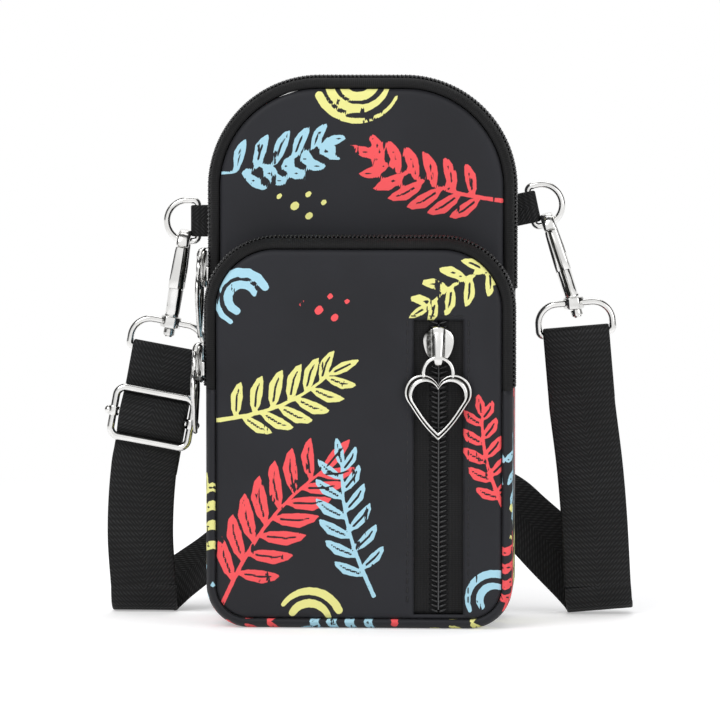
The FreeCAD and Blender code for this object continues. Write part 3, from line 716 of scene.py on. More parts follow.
def bend(centre: tuple, radius: float, first: float, last: float, step: float = 1.2) -> Path:
    """An arc.

    Args:
        centre: Its (x, z) centre.
        radius: Its radius.
        first: Outward heading at its start.
        last: Outward heading at its end.
        step: Distance between points.

    Returns:
        The arc.
    """
    count = max(6, round(abs(math.radians(last - first)) * radius / step))
    angles = np.radians(np.linspace(first, last, count + 1))
    normals = np.column_stack([np.sin(angles), np.cos(angles)])
    return Path(np.array(centre, float) + normals * radius, normals)


def arch(half: float, top: float, radius: float, foot: float) -> Path:
    """Left foot, up, over and down to the right foot."""
    inner = half - radius
    return (straight((-half, foot), (-half, top - radius), -90)
            + bend((-inner, top - radius), radius, -90, 0)
            + straight((-inner, top), (inner, top), 0)
            + bend((inner, top - radius), radius, 0, 90)
            + straight((half, top - radius), (half, foot), 90))


def bowl(half: float, radius: float, rim: float) -> Path:
    """Right rim, down, under and up to the left rim."""
    inner = half - radius
    return (straight((half, rim), (half, radius), 90)
            + bend((inner, radius), radius, 90, 180)
            + straight((inner, 0), (-inner, 0), 180)
            + bend((-inner, radius), radius, 180, 270)
            + straight((-half, radius), (-half, rim), 270))


def sweep(name: str, path: Path, section: np.ndarray, material: str,
          fields=None) -> bpy.types.Object:
    """Carry a closed (outward, y) section along a path.

    Args:
        name: Piece name.
        path: Path round the pouch.
        section: (m, 2) closed section, its outer side first.
        material: Name of a finish.
        fields: Function of (distance, y) arrays that gives print fields.

    Returns:
        The closed mesh object, with UVs along the path and round the section.
    """
    rows, columns = len(path.points), len(section)
    flat = path.points[:, None, :] + path.normals[:, None, :] * section[None, :, 0:1]
    points = np.empty((rows, columns, 3))
    points[:, :, 0], points[:, :, 2] = flat[:, :, 0], flat[:, :, 1]
    points[:, :, 1] = section[None, :, 1]
    uvs = np.empty((rows, columns, 2))
    uvs[:, :, 0], uvs[:, :, 1] = path.lengths[:, None] * MM, run_lengths(section)[None, :] * MM
    values = None
    if fields is not None:
        along = np.repeat(path.lengths[:, None], columns, axis=1).ravel()
        across = np.repeat(section[None, :, 1], rows, axis=0).ravel()
        values = fields(along, across)
    return new_piece(name, points.reshape(-1, 3), tube_faces(rows, columns), material,
                     uvs.reshape(-1, 2), values)


# ---------------------------------------------------------------- print
@dataclass(frozen=True)
class Stroke:
    """A brush mark: a chain of (u, v, half width) stops in millimetres."""

    tone: Tone
    stops: tuple

    def depth(self, u: np.ndarray, v: np.ndarray) -> np.ndarray:
        """How far inside the mark each point lies, negative outside."""
        best = np.full(u.shape, OUTSIDE)
        for (u0, v0, r0), (u1, v1, r1) in zip(self.stops, self.stops[1:]):
            du, dv = u1 - u0, v1 - v0
            share = np.clip(((u - u0) * du + (v - v0) * dv) / (du * du + dv * dv), 0, 1)
            gap = np.hypot(u - u0 - share * du, v - v0 - share * dv)
            best = np.maximum(best, r0 + share * (r1 - r0) - gap)
        return best


def fields_of(strokes: list, u: np.ndarray, v: np.ndarray) -> dict[str, np.ndarray]:
    """Print fields of a set of strokes.

    Args:
        strokes: The strokes.
        u: First place of each point.
        v: Second place of each point.

    Returns:
        Depth inside the marks of each tone, by the tone's field name.
    """
    found = {tone.value: np.full(u.shape, OUTSIDE) for tone in Tone}
    for stroke in strokes:
        key = stroke.tone.value
        found[key] = np.maximum(found[key], stroke.depth(u, v))
    return found


class Brush:
    """Turned and placed groups of brush marks."""

    def __init__(self, tone: Tone, u: float, v: float, turn: float) -> None:
        """Keep the colour, the place and the turn in degrees."""
        self.tone = tone
        self.u, self.v = u, v
        self.c, self.s = math.cos(math.radians(turn)), math.sin(math.radians(turn))
        self.marks: list[Stroke] = []

    def line(self, stops: list, tone: Tone | None = None) -> "Brush":
        """Add one mark through (along, across, half width) stops."""
        c, s = self.c, self.s
        made = tuple((self.u + a * c - b * s, self.v + a * s + b * c, r) for a, b, r in stops)
        self.marks.append(Stroke(tone or self.tone, made))
        return self

    def sprig(self, length: float, pairs: int, leaf: float, size: float, curl: float) -> "Brush":
        """A curved stem with pairs of veined leaves and one at its tip.

        Args:
            length: Length of the stem in millimetres.
            pairs: Pairs of leaves.
            leaf: Length of the longest leaf.
            size: Half width of the broadest leaf.
            curl: How far the stem bows sideways.

        Returns:
            This brush.
        """
        def stem(t: float) -> tuple[float, float]:
            """Place on the stem at a share of its length."""
            return length * t, curl * math.sin(math.pi * t * 0.85)
        self.line([(*stem(k / 8), 0.75 - 0.04 * k) for k in range(9)])
        leaves = [(0.97, 0.0, 0.8)]
        for k in range(pairs):
            t = 0.16 + 0.72 * k / max(1, pairs - 1)
            grow = 0.62 + 0.38 * math.sin(math.pi * (0.15 + 0.75 * t))
            leaves += [(t, 1.0, grow), (t + 0.05, -1.0, grow * 0.94)]
        for t, side, grow in leaves:
            a, b = stem(t)
            heading = side * math.radians(58 - 20 * t)
            c, s = math.cos(heading) * leaf * grow, math.sin(heading) * leaf * grow
            bow = 0.10 * leaf * grow * side
            wide = size * grow
            self.line([(a, b, 0.45), (a + 0.22 * c, b + 0.22 * s + bow * 0.5, wide * 0.8),
                       (a + 0.5 * c, b + 0.5 * s + bow, wide),
                       (a + 0.8 * c, b + 0.8 * s + bow * 0.6, wide * 0.6), (a + c, b + s, 0.2)])
            self.line([(a + 0.16 * c, b + 0.16 * s + bow * 0.3, 0.42),
                       (a + 0.5 * c, b + 0.5 * s + bow, 0.40),
                       (a + 0.74 * c, b + 0.74 * s + bow * 0.6, 0.30)], Tone.INK)
        return self

    def bows(self, radii: list, first: float, last: float, size: float) -> "Brush":
        """Arcs about one centre.

        Args:
            radii: Radius of each arc.
            first: Angle at which the first arc starts.
            last: Angle at which it ends.
            size: Half width of the marks.

        Returns:
            This brush.
        """
        for k, radius in enumerate(radii):
            sweep_by = last - first - 11 * k
            angles = [math.radians(first + 6 * k + sweep_by * j / 9) for j in range(10)]
            self.line([(radius * math.cos(a), radius * math.sin(a),
                        size * (0.75 + 0.35 * math.sin(2.6 * j / 9 + k))) for j, a in enumerate(angles)])
        return self

    def dots(self, spots: list) -> "Brush":
        """Round spots at (along, across, radius)."""
        for a, b, r in spots:
            self.line([(a, b, r), (a + 0.5, b + 0.3, r)])
        return self


C, Y, B = Tone.CORAL, Tone.YELLOW, Tone.BLUE


def gather(*brushes: Brush) -> list[Stroke]:
    """All marks of several brushes."""
    return [mark for brush in brushes for mark in brush.marks]


SPRAY = [(0, 0, 1.3), (5, 3, 0.9), (4, -4, 1.1), (9.5, -0.5, 0.8), (-4.5, 4, 0.8)]
FRONT_PRINT = gather(
    Brush(C, -45, 7, 50).sprig(58, 7, 16.5, 2.6, 6), Brush(Y, -47, 68, 26).sprig(42, 6, 13, 2.2, -5),
    Brush(B, 5, 11, 101).sprig(45, 6, 12, 2.0, 4), Brush(Y, -16, 2, 0).bows([6.5, 10.5], 18, 150, 1.3),
    Brush(Y, 47, 119, 212).sprig(28, 4, 10, 1.9, -3), Brush(C, 48, 38, 101).sprig(34, 5, 9, 2.0, 3),
    Brush(B, -38, 108, 0).bows([4.5, 8.5], 20, 250, 1.35), Brush(C, -13, 104, 20).dots(SPRAY),
    Brush(B, 44, 10, 0).bows([4.5, 8.5], 60, 210, 1.2),
)
UPPER_PRINT = gather(
    Brush(C, 46, 139, 158).sprig(44, 6, 13, 2.3, 4), Brush(B, -47, 148, 18).sprig(36, 5, 12, 2.1, -3),
    Brush(Y, -1, 179, 0).bows([6, 10, 14], 192, 344, 1.35), Brush(Y, -22, 137, 10).dots(SPRAY),
)
BACK_PRINT = gather(
    Brush(C, -42, 100, 48).sprig(62, 8, 17, 2.6, 6), Brush(Y, 40, 160, 236).sprig(60, 8, 16, 2.4, -6),
    Brush(B, -38, 24, 40).sprig(52, 7, 15, 2.3, 5), Brush(C, 26, 30, 0).bows([8, 13, 18], 20, 160, 1.6),
    Brush(Y, -12, 88, 0).bows([6, 10], 200, 400, 1.4), Brush(B, 20, 72, 30).dots(SPRAY),
    Brush(C, 0, 165, 0).dots(SPRAY),
)
# the prints below lie by distance along the path and by y
BAND_PRINT = gather(Brush(C, 60, 14, 6).sprig(34, 5, 9, 1.7, 2),
                    Brush(Y, 130, 15, -8).sprig(30, 5, 9, 1.7, 2))
MAIN_SIDE_PRINT = gather(
    *(Brush(tone, s, y, turn).sprig(length, 5, 10, 1.9, 2) for tone, s, y, turn, length in (
        (C, 22, 2, 8, 34), (Y, 74, 6, -10, 30), (B, 116, 2, 6, 36), (C, 168, 5, -6, 38),
        (Y, 222, 3, 8, 32), (B, 268, 5, -8, 34))),
    Brush(B, 64, -3, 0).dots(SPRAY), Brush(C, 210, -2, 0).dots(SPRAY), Brush(Y, 158, -2, 0).dots(SPRAY),
)
FRONT_SIDE_PRINT = gather(
    *(Brush(tone, s, -18.5, turn).sprig(length, 4, 7.5, 1.6, 1) for tone, s, turn, length in (
        (B, 14, 4, 26), (C, 46, -5, 22), (Y, 76, 5, 26), (B, 112, -4, 24), (C, 142, 4, 28),
        (Y, 186, -4, 26))),
    Brush(Y, 38, -20, 0).dots(SPRAY), Brush(C, 106, -18, 0).dots(SPRAY), Brush(B, 176, -19, 0).dots(SPRAY),
)


# ---------------------------------------------------------------- cloth pieces
@dataclass
class Outline:
    """A panel's edge: straight sides, round top corners and round base corners."""

    half: float
    base: float
    top: float
    base_corner: float
    top_corner: float

    def half_at(self, z: float) -> float:
        """Half width at a height."""
        if z > self.top - self.top_corner:
            rise = z - (self.top - self.top_corner)
            return self.half - self.top_corner + math.sqrt(max(0.0, self.top_corner ** 2 - rise ** 2))
        if z < self.base + self.base_corner:
            drop = self.base + self.base_corner - z
            return self.half - self.base_corner + math.sqrt(max(0.0, self.base_corner ** 2 - drop ** 2))
        return self.half

    def inside(self, x: np.ndarray, z: np.ndarray) -> np.ndarray:
        """Distance from each point to the edge."""
        side = np.abs(x)
        depth = np.minimum(np.minimum(self.half - side, self.top - z), z - self.base)
        for corner, level, above in ((self.top_corner, self.top - self.top_corner, 1),
                                     (self.base_corner, self.base + self.base_corner, -1)):
            beyond = (side > self.half - corner) & ((z - level) * above > 0)
            depth = np.where(beyond, corner - np.hypot(side - (self.half - corner), z - level), depth)
        return np.maximum(depth, 0.0)

    def rows(self, step: float) -> np.ndarray:
        """Heights of the grid's rows, close together where a corner is flat."""
        turn = np.radians(np.linspace(0, 90, 22))
        low = self.base + self.base_corner * (1 - np.cos(turn))
        high = self.top - self.top_corner * (1 - np.sin(turn))
        middle = np.arange(low[-1] + step, high[0] - step / 2, step)
        return np.concatenate([low, middle, high])


@dataclass
class Window:
    """The slot of the pocket zip."""

    low_x: float = 18.0
    high_x: float = 34.0
    low_z: float = 5.0
    high_z: float = 101.0
    roll: float = 1.1
    lip: float = 0.8
    slope: float = 5.0
    seam: float = 2.6
    seam_width: float = 0.45
    seam_depth: float = 0.10

    def away(self, x: np.ndarray, z: np.ndarray) -> np.ndarray:
        """Distance outside the slot."""
        dx = np.maximum(np.maximum(self.low_x - x, x - self.high_x), 0)
        dz = np.maximum(np.maximum(self.low_z - z, z - self.high_z), 0)
        return np.hypot(dx, dz)

    @staticmethod
    def split(found: np.ndarray, low: float, high: float, clear: float) -> np.ndarray:
        """Grid lines with the slot's edges in the place of lines nearer to them than clear."""
        for edge in (low, high):
            found = found[np.abs(found - edge) > clear]
        return np.concatenate([found, [low, high, low - 0.3, high + 0.3]])

    def opened(self, faces: list, xs: np.ndarray, zs: np.ndarray) -> list:
        """The faces of a grid of xs and zs that don't lie in the slot."""
        mid_x, mid_z = (xs[:-1] + xs[1:]) / 2, (zs[:-1] + zs[1:]) / 2
        open_x = (mid_x > self.low_x) & (mid_x < self.high_x)
        open_z = (mid_z > self.low_z) & (mid_z < self.high_z)
        whole = ~(open_z[:, None] & open_x[None, :]).ravel()
        return [face for face, kept in zip(faces, whole) if kept]

    def press(self, height: np.ndarray, depth: np.ndarray, x: np.ndarray, z: np.ndarray) -> np.ndarray:
        """Flatten a panel's heights near the slot, sink the seam and roll the lip in.

        Args:
            height: Heights of the panel.
            depth: Distance of each point to the panel's edge.
            x: Places of the points.
            z: Heights of the points above the base.

        Returns:
            The new heights.
        """
        near = self.away(x, z)
        height = np.where(depth > 1.5, height * (1 - 0.75 * np.exp(-near / self.slope)), height)
        height = height - self.seam_depth * np.exp(-((near - self.seam) / self.seam_width) ** 2)
        return height - self.lip * np.clip(1 - near / self.roll, 0, 1) ** 2


@dataclass
class Panel:
    """A soft panel with a rolled edge, gently crowned, facing -1 front or +1 back."""

    name: str
    outline: Outline
    y: float
    facing: int
    strokes: list
    crown: float = 0.9
    roll: float = 2.0
    sink: float = 1.5
    step: float = 0.9
    thickness: float = 1.0
    window: Window | None = None
    ripple: float = 0.10
    crown_reach: float = 13.0
    ripple_reach: float = 12.0

    def columns(self) -> np.ndarray:
        """Places of the grid's columns in the straight part, fine near the edges and the slot."""
        half = self.outline.half
        reach = np.linspace(-half, half, round(2 * half / self.step) + 1)
        extra = [half - d for d in (0.12, 0.3, 0.5)]
        found = np.concatenate([reach, extra, [-e for e in extra]])
        if self.window:
            found = self.window.split(found, self.window.low_x, self.window.high_x, 0.35)
        return np.unique(np.round(found, 3))

    def levels(self) -> np.ndarray:
        """Heights of the rows."""
        found = self.outline.rows(self.step)
        if self.window:
            found = self.window.split(found, self.window.low_z, self.window.high_z, 0.3)
        return np.unique(np.round(found, 4))

    def grid(self, xs: np.ndarray, zs: np.ndarray) -> tuple[np.ndarray, np.ndarray]:
        """Places of the grid's points, drawn in where a corner narrows the panel.

        Args:
            xs: Columns in the straight part.
            zs: Levels.

        Returns:
            Arrays of x and z with a row for each level.
        """
        edge = self.outline
        x = np.empty((len(zs), len(xs)))
        for i, level in enumerate(zs):
            half = edge.half_at(level)
            corner = edge.top_corner if level > (edge.top + edge.base) / 2 else edge.base_corner
            still = edge.half - corner
            outer = np.sign(xs) * (still + (np.abs(xs) - still) * (half - still) / corner)
            x[i] = np.where(np.abs(xs) > still, outer, xs)
        return x, np.repeat(zs[:, None], len(xs), axis=1)

    def relief(self, x: np.ndarray, z: np.ndarray) -> np.ndarray:
        """How far the cloth stands out: rolled edge, crown, ripples and the slot's lip.

        Args:
            x: Places of the points.
            z: Their heights above the base.

        Returns:
            Distance of each point in front of the seam's plane.
        """
        depth = self.outline.inside(x, z)
        share = np.clip(depth / self.roll, 0, 1)
        height = -self.sink * (1 - np.sqrt(np.clip(1 - (1 - share) ** 2, 0, 1)))
        height = height + self.crown * (1 - np.exp(-depth / self.crown_reach))
        waves = np.sin(x * 0.11 + 1.3) * np.sin(z * 0.075 + 0.6) + 0.6 * np.sin(x * 0.05 - z * 0.09)
        height = height + self.ripple * waves * np.clip(depth / self.ripple_reach, 0, 1)
        return self.window.press(height, depth, x, z) if self.window else height

    def build(self) -> bpy.types.Object:
        """Make the panel.

        Returns:
            Its closed mesh, printed outside and lined inside.
        """
        xs, zs = self.columns(), self.levels()
        x, z = self.grid(xs, zs)
        y = self.y + self.facing * self.relief(x, z)
        points = np.stack([x, y, z], axis=-1).reshape(-1, 3)
        faces = grid_faces(len(zs), len(xs))
        if self.window:
            faces = self.window.opened(faces, xs, zs)
        if self.facing > 0:
            faces = [face[::-1] for face in faces]
        fields = fields_of(self.strokes, points[:, 0], points[:, 2])
        thing = new_piece(self.name, points, faces, "printed_cloth", points[:, [2, 0]] * MM, fields,
                          fix=False)
        with editing(thing.data) as work:
            loose = [v for v in work.verts if not v.link_faces]
            bmesh.ops.delete(work, geom=loose, context="VERTS")
            bmesh.ops.remove_doubles(work, verts=work.verts, dist=0.001 * MM)
        thing.data.materials.append(Shelf.made["lining"])
        use_modifier(thing, "SOLIDIFY", thickness=self.thickness * MM, offset=-1.0, material_offset=1,
                     material_offset_rim=0)
        return thing


def level_run(first: float, last: float, count: int) -> list:
    """Points of a flat part of a section, as (outward, y)."""
    return [(0.0, y) for y in np.linspace(first, last, count)]


def side_curve(y: float, inward: int, inset: float, depth: float) -> list:
    """Outer points of a section from a sunken seam round to the widest line.

    Args:
        y: Plane of the seam.
        inward: +1 if the section goes on towards the back, -1 if towards the front.
        inset: How far the seam lies inside the widest line.
        depth: Depth of the rounded part.

    Returns:
        Points as (outward, y).
    """
    points = [(-inset + 0.15, y + inward * 1.5), (-inset + 0.35, y + inward * 0.75)]
    for k in range(8):
        a = math.radians(18 + 72 * k / 7)
        points.append((-inset + inset * math.sin(a), y + inward * depth * (1 - math.cos(a))))
    return points


def closed_wall(outer: list, thickness: float) -> np.ndarray:
    """A closed section from its outer points and a wall thickness."""
    line = np.array(outer, float)
    step = np.gradient(line, axis=0)
    normal = np.column_stack([-step[:, 1], step[:, 0]])
    normal /= np.linalg.norm(normal, axis=1)[:, None]
    if np.sum(normal[:, 0]) > 0:
        normal = -normal
    inner = (line + normal * thickness)[::-1]
    return np.vstack([line, inner])


HALF, BASE_CORNER = 50.0, 14.0


@dataclass(frozen=True)
class Zone:
    """One compartment: its top, its face, its zip with the slider, and its flap's folding line."""

    name: str
    top: float
    corner: float
    zip_end: float
    face_y: float
    slit: float
    slider_z: float
    flap: Body
    fold: float

    def over(self) -> Path:
        """The zip's way over the compartment."""
        return arch(HALF, self.top, self.corner, self.zip_end)

    def under(self) -> Path:
        """The side wall's way under the compartment."""
        return bowl(HALF, BASE_CORNER, self.zip_end)

    def across_fold(self, thing: bpy.types.Object, slot: str, replaced: tuple = (), below: float = 1.4,
                    above: float = 2.0) -> None:
        """Hand a piece to bend_piece with the pouch and the flap as its bodies.

        Args:
            thing: The piece.
            slot: Not used.
            replaced: CAD nodes that it stands for.
            below: Distance under the folding line of the start point passed on.
            above: Distance over the line of the end point passed on.
        """
        bend_piece(thing, (Body.POUCH.value, self.flap.value), (0, self.face_y, self.fold - below),
                   (0, self.face_y, self.fold + above), replaced)


MAIN = Zone("main", 179.0, 36.0, 109.0, -4.5, 2.95, 117.0, Body.MAIN_FLAP, 131.0)
FRONT = Zone("front", 127.3, 23.0, 78.0, -22.5, -15.05, 87.0, Body.FRONT_FLAP, 103.0)
SIDES = ((-1, "left"), (1, "right"))


@dataclass
class Shell:
    """The cloth body of the pouch with its two compartments."""

    back_y: float = 22.5
    inset: float = 3.5
    depth: float = 4.2
    cloth: float = 1.1
    tape: float = 0.8
    slit: float = 0.5
    rear_tape_width: float = 7.0
    overlap: float = 0.6

    def outline(self, zone: Zone) -> Outline:
        """Edge of a panel of either compartment."""
        return Outline(HALF - self.inset, self.inset, zone.top - self.inset, BASE_CORNER - self.inset,
                       zone.corner - self.inset)

    def front_side(self, y: float) -> list:
        """Section from a front seam to the widest line."""
        return side_curve(y, 1, self.inset, self.depth)

    def rear_side(self, y: float) -> list:
        """Section from the widest line to a rear seam."""
        return side_curve(y, -1, self.inset, self.depth)[::-1]

    def panels(self) -> None:
        """Front, upper front with the dividing wall, and back."""
        front = Panel("front_face", self.outline(FRONT), FRONT.face_y, -1, FRONT_PRINT, window=Window(),
                      step=0.62).build()
        FRONT.across_fold(front, "printed_cloth", ("front_panel", "front_flap_panel"))
        upper = Panel("upper_face", self.outline(MAIN), MAIN.face_y, -1, UPPER_PRINT, crown=0.7,
                      step=0.74).build()
        MAIN.across_fold(upper, "printed_cloth", ("divider_panel", "upper_front_panel"), 1.6, 2.2)
        back = Panel("back_face", self.outline(MAIN), self.back_y, 1, BACK_PRINT, crown=0.5).build()
        finish_piece(back, Body.POUCH.value, ("back_panel",))

    def gusset(self, zone: Zone, rear_y: float, strokes: list) -> None:
        """A printed side wall from a compartment's face to its rear seam.

        Args:
            zone: The compartment.
            rear_y: Plane of the rear seam.
            strokes: The wall's print.
        """
        front, rear = self.front_side(zone.face_y), self.rear_side(rear_y)
        first, last = front[-1][1], rear[0][1]
        level = level_run(first, last, round(last - first) + 1)[1:-1]
        section = closed_wall(front + level + rear, self.cloth)
        thing = sweep(zone.name + "_side_wall", zone.under(), section, "printed_cloth",
                      lambda s, y: fields_of(strokes, s, y))
        finish_piece(thing, Body.POUCH.value, (zone.name + "_gusset",))

    def rear_walls(self) -> None:
        """The rear band and the tape before it, and the front zip's rear tape."""
        tape_start = MAIN.slit + self.slit / 2
        tape_end = tape_start + self.rear_tape_width
        band_start = tape_end - self.overlap
        rear = level_run(band_start, self.back_y - self.depth, 7)[:-1]
        rear[0] = (0.25, band_start)
        rear += self.rear_side(self.back_y)
        band = sweep("rear_band", MAIN.over(), closed_wall(rear, self.cloth), "printed_cloth",
                     lambda s, y: fields_of(BAND_PRINT, s, y))
        finish_piece(band, Body.POUCH.value, ("main_rear_band",))
        front_rear = level_run(FRONT.slit + self.slit / 2, MAIN.face_y - self.depth, 7)[:-1]
        front_rear += self.rear_side(MAIN.face_y)
        for zone, outer in ((MAIN, level_run(tape_start, tape_end, 8)), (FRONT, front_rear)):
            thing = sweep(zone.name + "_rear_tape", zone.over(), closed_wall(outer, self.tape), "zip_tape")
            finish_piece(thing, Body.POUCH.value, (zone.name + "_zip_rear_tape",))

    def front_tapes(self) -> None:
        """The tape in front of each long zip's slit."""
        for zone in (MAIN, FRONT):
            outer = self.front_side(zone.face_y)
            outer += level_run(outer[-1][1], zone.slit - self.slit / 2, 5)[1:]
            thing = sweep(zone.name + "_front_tape", zone.over(), closed_wall(outer, self.tape), "zip_tape")
            zone.across_fold(thing, "zip_tape",
                             (zone.name + "_zip_front_tape", zone.name + "_zip_side_tapes"))

    def build(self) -> None:
        """Make all cloth of the body."""
        self.panels()
        self.gusset(MAIN, self.back_y, MAIN_SIDE_PRINT)
        self.gusset(FRONT, MAIN.face_y, FRONT_SIDE_PRINT)
        self.rear_walls()
        self.front_tapes()


# ---------------------------------------------------------------- zips
@dataclass
class Coil:
    """Rows of coil teeth along the long zips and the pocket zip."""

    pitch: float = 1.35
    reach: float = 2.9
    slant: float = 0.55
    radius: float = 0.47
    gap: float = 0.12

    def template(self) -> tuple[np.ndarray, list]:
        """One tooth lying along the first axis: points (across, along, out) and faces."""
        stations = ((0.0, 0.25, 0.75), (0.35, 0.62, 1.0), (self.reach * 0.55, 0.55, 0.92),
                    (self.reach - 0.1, 0.1, 0.7))
        rings = []
        for across, out, scale in stations:
            lean = self.slant * across / self.reach
            for k in range(6):
                a = math.radians(60 * k + 30)
                rings.append((across, lean + self.radius * scale * math.cos(a),
                              out + self.radius * scale * math.sin(a)))
        return np.array(rings), tube_faces(len(stations), 6)

    def row(self, name: str, path: Path, slit_y: float, direction: int, shift: float) -> bpy.types.Object:
        """One row of teeth on one side of a slit.

        Args:
            name: Piece name.
            path: Path round the pouch.
            slit_y: Middle of the slit.
            direction: +1 behind the slit, -1 in front of it.
            shift: Start of the first tooth in pitches.

        Returns:
            All teeth as one mesh object.
        """
        shape, cells = self.template()
        shapes = []
        for place in marks(self.pitch * shift, path.lengths[-1] - self.pitch, self.pitch):
            point, normal = path.at(place)
            along = np.array([normal[1], -normal[0]])
            across = slit_y + direction * (self.gap + shape[:, 0])
            flat = point + along * shape[:, 1:2] + normal * shape[:, 2:3]
            shapes.append(np.column_stack([flat[:, 0], across, flat[:, 1]]))
        return copies(name, shapes, cells, "zip_coil")

    def build(self) -> None:
        """Make all rows of both long zips."""
        for zone in (MAIN, FRONT):
            name, path = zone.name, zone.over()
            rear = self.row(name + "_rear_row", path, zone.slit, 1, 0.8)
            finish_piece(rear, Body.POUCH.value, (name + "_zip_rear_teeth",))
            front = self.row(name + "_front_row", path, zone.slit, -1, 1.3)
            zone.across_fold(front, "zip_teeth", (name + "_zip_front_teeth", name + "_zip_side_teeth"))


@dataclass
class PocketZip:
    """The upright zip in the front panel: tapes, rows, a pale centre cord as painted highlight, and the
    lining.
    """

    x: float = 26.0
    low: float = 5.0
    high: float = 101.0
    tape_top: float = 102.6
    tape_y: float = -21.0
    half: float = 12.0
    pitch: float = 1.62

    def tapes(self) -> None:
        """Two tapes with a rib beside the coil."""
        rows = np.linspace(self.low, self.tape_top, 66)
        section = ((0.25, 0.0), (1.0, 0.0), (2.9, 0.0), (3.3, 0.12), (3.8, 0.22), (4.3, 0.0), (6.0, 0.0),
                   (9.0, 0.0), (self.half, 0.0))
        for side, word in SIDES:
            outer = np.array([(self.x + side * across, self.tape_y - lift, z)
                              for z in rows for across, lift in section])
            faces = grid_faces(len(rows), len(section))
            if side < 0:
                faces = [face[::-1] for face in faces]
            thing = new_piece("pocket_tape_" + word, outer, faces, "zip_tape", outer[:, [2, 0]] * MM,
                              fix=False)
            use_modifier(thing, "SOLIDIFY", thickness=0.8 * MM, offset=-1.0)
            finish_piece(thing, Body.POUCH.value, (f"pocket_zip_{word}_tape",))

    def rows(self) -> None:
        """Two rows of slanted teeth and a pale centre cord, whose colour is a painted highlight where the
        rows meet.
        """
        coil = Coil(pitch=self.pitch, slant=-0.95, radius=0.42)
        shape, cells = coil.template()
        for side, word in SIDES:
            shapes = [np.column_stack([self.x + side * (coil.gap + shape[:, 0]),
                                       self.tape_y - shape[:, 2], z - shape[:, 1]])
                      for z in marks(self.low + 0.8, self.high - 1.0, self.pitch)]
            row = copies("pocket_row_" + word, shapes, cells, "zip_coil")
            finish_piece(row, Body.POUCH.value, (f"pocket_zip_{word}_teeth",))
        # painted highlight: a pale cord where the two rows meet
        highlight_cord = turned(0.26, self.high - self.low - 3.0,
                      (self.x, self.tape_y - 0.72, (self.high + self.low) / 2), vertices=10)
        highlight_cord.name = "pocket_row_highlight_cord"
        highlight_cord.data.materials.append(Shelf.made["highlight_cord"])
        smooth_by_angle(highlight_cord, 40)
        finish_piece(highlight_cord, Body.POUCH.value)

    def lining(self) -> None:
        """The flat pocket behind the tapes."""
        thing = dressed_copy("pocket_lining", "pocket_bag", "lining", 0.5)
        finish_piece(thing, Body.POUCH.value, ("pocket_lining",))

    def build(self) -> None:
        """Make the pocket zip."""
        self.tapes()
        self.rows()
        self.lining()


@dataclass
class Stitching:
    """Lines of separate stitches laid on the cloth."""

    length: float = 2.1
    gap: float = 0.9
    radius: float = 0.20
    plane: float = -22.72
    left: float = 15.9
    right: float = 35.7
    low: float = 8.0
    top: float = 102.4

    def line(self, name: str, course: np.ndarray, out: np.ndarray) -> bpy.types.Object:
        """Stitches along a course of points.

        Args:
            name: Piece name.
            course: (n, 3) points in millimetres.
            out: Direction away from the cloth.

        Returns:
            The stitches as one mesh object.
        """
        steps = run_lengths(course)
        shapes = []
        for place in marks(self.gap, steps[-1] - self.length, self.length + self.gap):
            ends = [np.array([np.interp(place + self.length * t, steps, course[:, k]) for k in range(3)])
                    for t in (0, 0.2, 0.8, 1.0)]
            ahead = (ends[3] - ends[0]) / np.linalg.norm(ends[3] - ends[0])
            across = np.cross(ahead, out)
            ring = []
            for end, lift, size in zip(ends, (-0.12, 0.1, 0.1, -0.12), (0.6, 1.0, 1.0, 0.6)):
                for k in range(6):
                    a = math.radians(60 * k)
                    ring.append(end + out * (lift + self.radius * size * math.sin(a))
                                + across * (self.radius * size * math.cos(a)))
            shapes.append(np.array(ring))
        return copies(name, shapes, tube_faces(4, 6), "thread")

    def build(self) -> None:
        """Stitch up both sides of the pocket zip's slot and over its top."""
        out = np.array(FORWARD, float)
        up = np.linspace(self.low, self.top, 60)
        courses = [[(x, self.plane, z) for z in up] for x in (self.left, self.right)]
        courses.append([(x, self.plane, self.top) for x in np.linspace(self.left, self.right, 20)])
        lines = [self.line("slot_stitch_" + k, np.array(course), out) for k, course in zip("abc", courses)]
        FRONT.across_fold(join(lines, "slot_stitches"), "zip_tape")


# ---------------------------------------------------------------- sliders and heart pulls
@dataclass
class Place:
    """A local frame: across, along and out directions about a centre."""

    centre: tuple
    across: tuple
    along: tuple
    out: tuple

    def put(self, local: np.ndarray) -> np.ndarray:
        """Local (across, along, out) points moved to the pouch."""
        axes = np.array([self.across, self.along, self.out], float)
        return np.array(self.centre, float) + np.asarray(local, float) @ axes


def move_mesh(thing: bpy.types.Object, place: Place) -> None:
    """Carry a mesh made about the origin to its place, merge doubles and turn its faces outwards.

    Args:
        thing: The mesh object.
        place: Where it goes.
    """
    flat = np.zeros(len(thing.data.vertices) * 3, np.float32)
    thing.data.vertices.foreach_get("co", flat)
    moved = place.put(flat.reshape(-1, 3) / MM) * MM
    thing.data.vertices.foreach_set("co", moved.astype(np.float32).ravel())
    thing.data.update()
    with editing(thing.data) as work:
        bmesh.ops.remove_doubles(work, verts=work.verts, dist=MERGE * MM)
        bmesh.ops.recalc_face_normals(work, faces=work.faces)
    thing.data.update()


CROWN_STOPS = (  # along, out, half width, thickness
    (6.7, 1.7, 1.2, 0.5), (6.0, 2.7, 1.7, 0.9), (4.0, 3.5, 1.9, 1.1), (0.5, 4.2, 1.85, 1.2),
    (-2.2, 4.9, 1.7, 1.3), (-4.2, 4.9, 1.6, 1.3), (-5.6, 4.2, 1.45, 1.2), (-6.1, 3.0, 1.3, 1.0),
    (-5.7, 1.9, 1.1, 0.6))


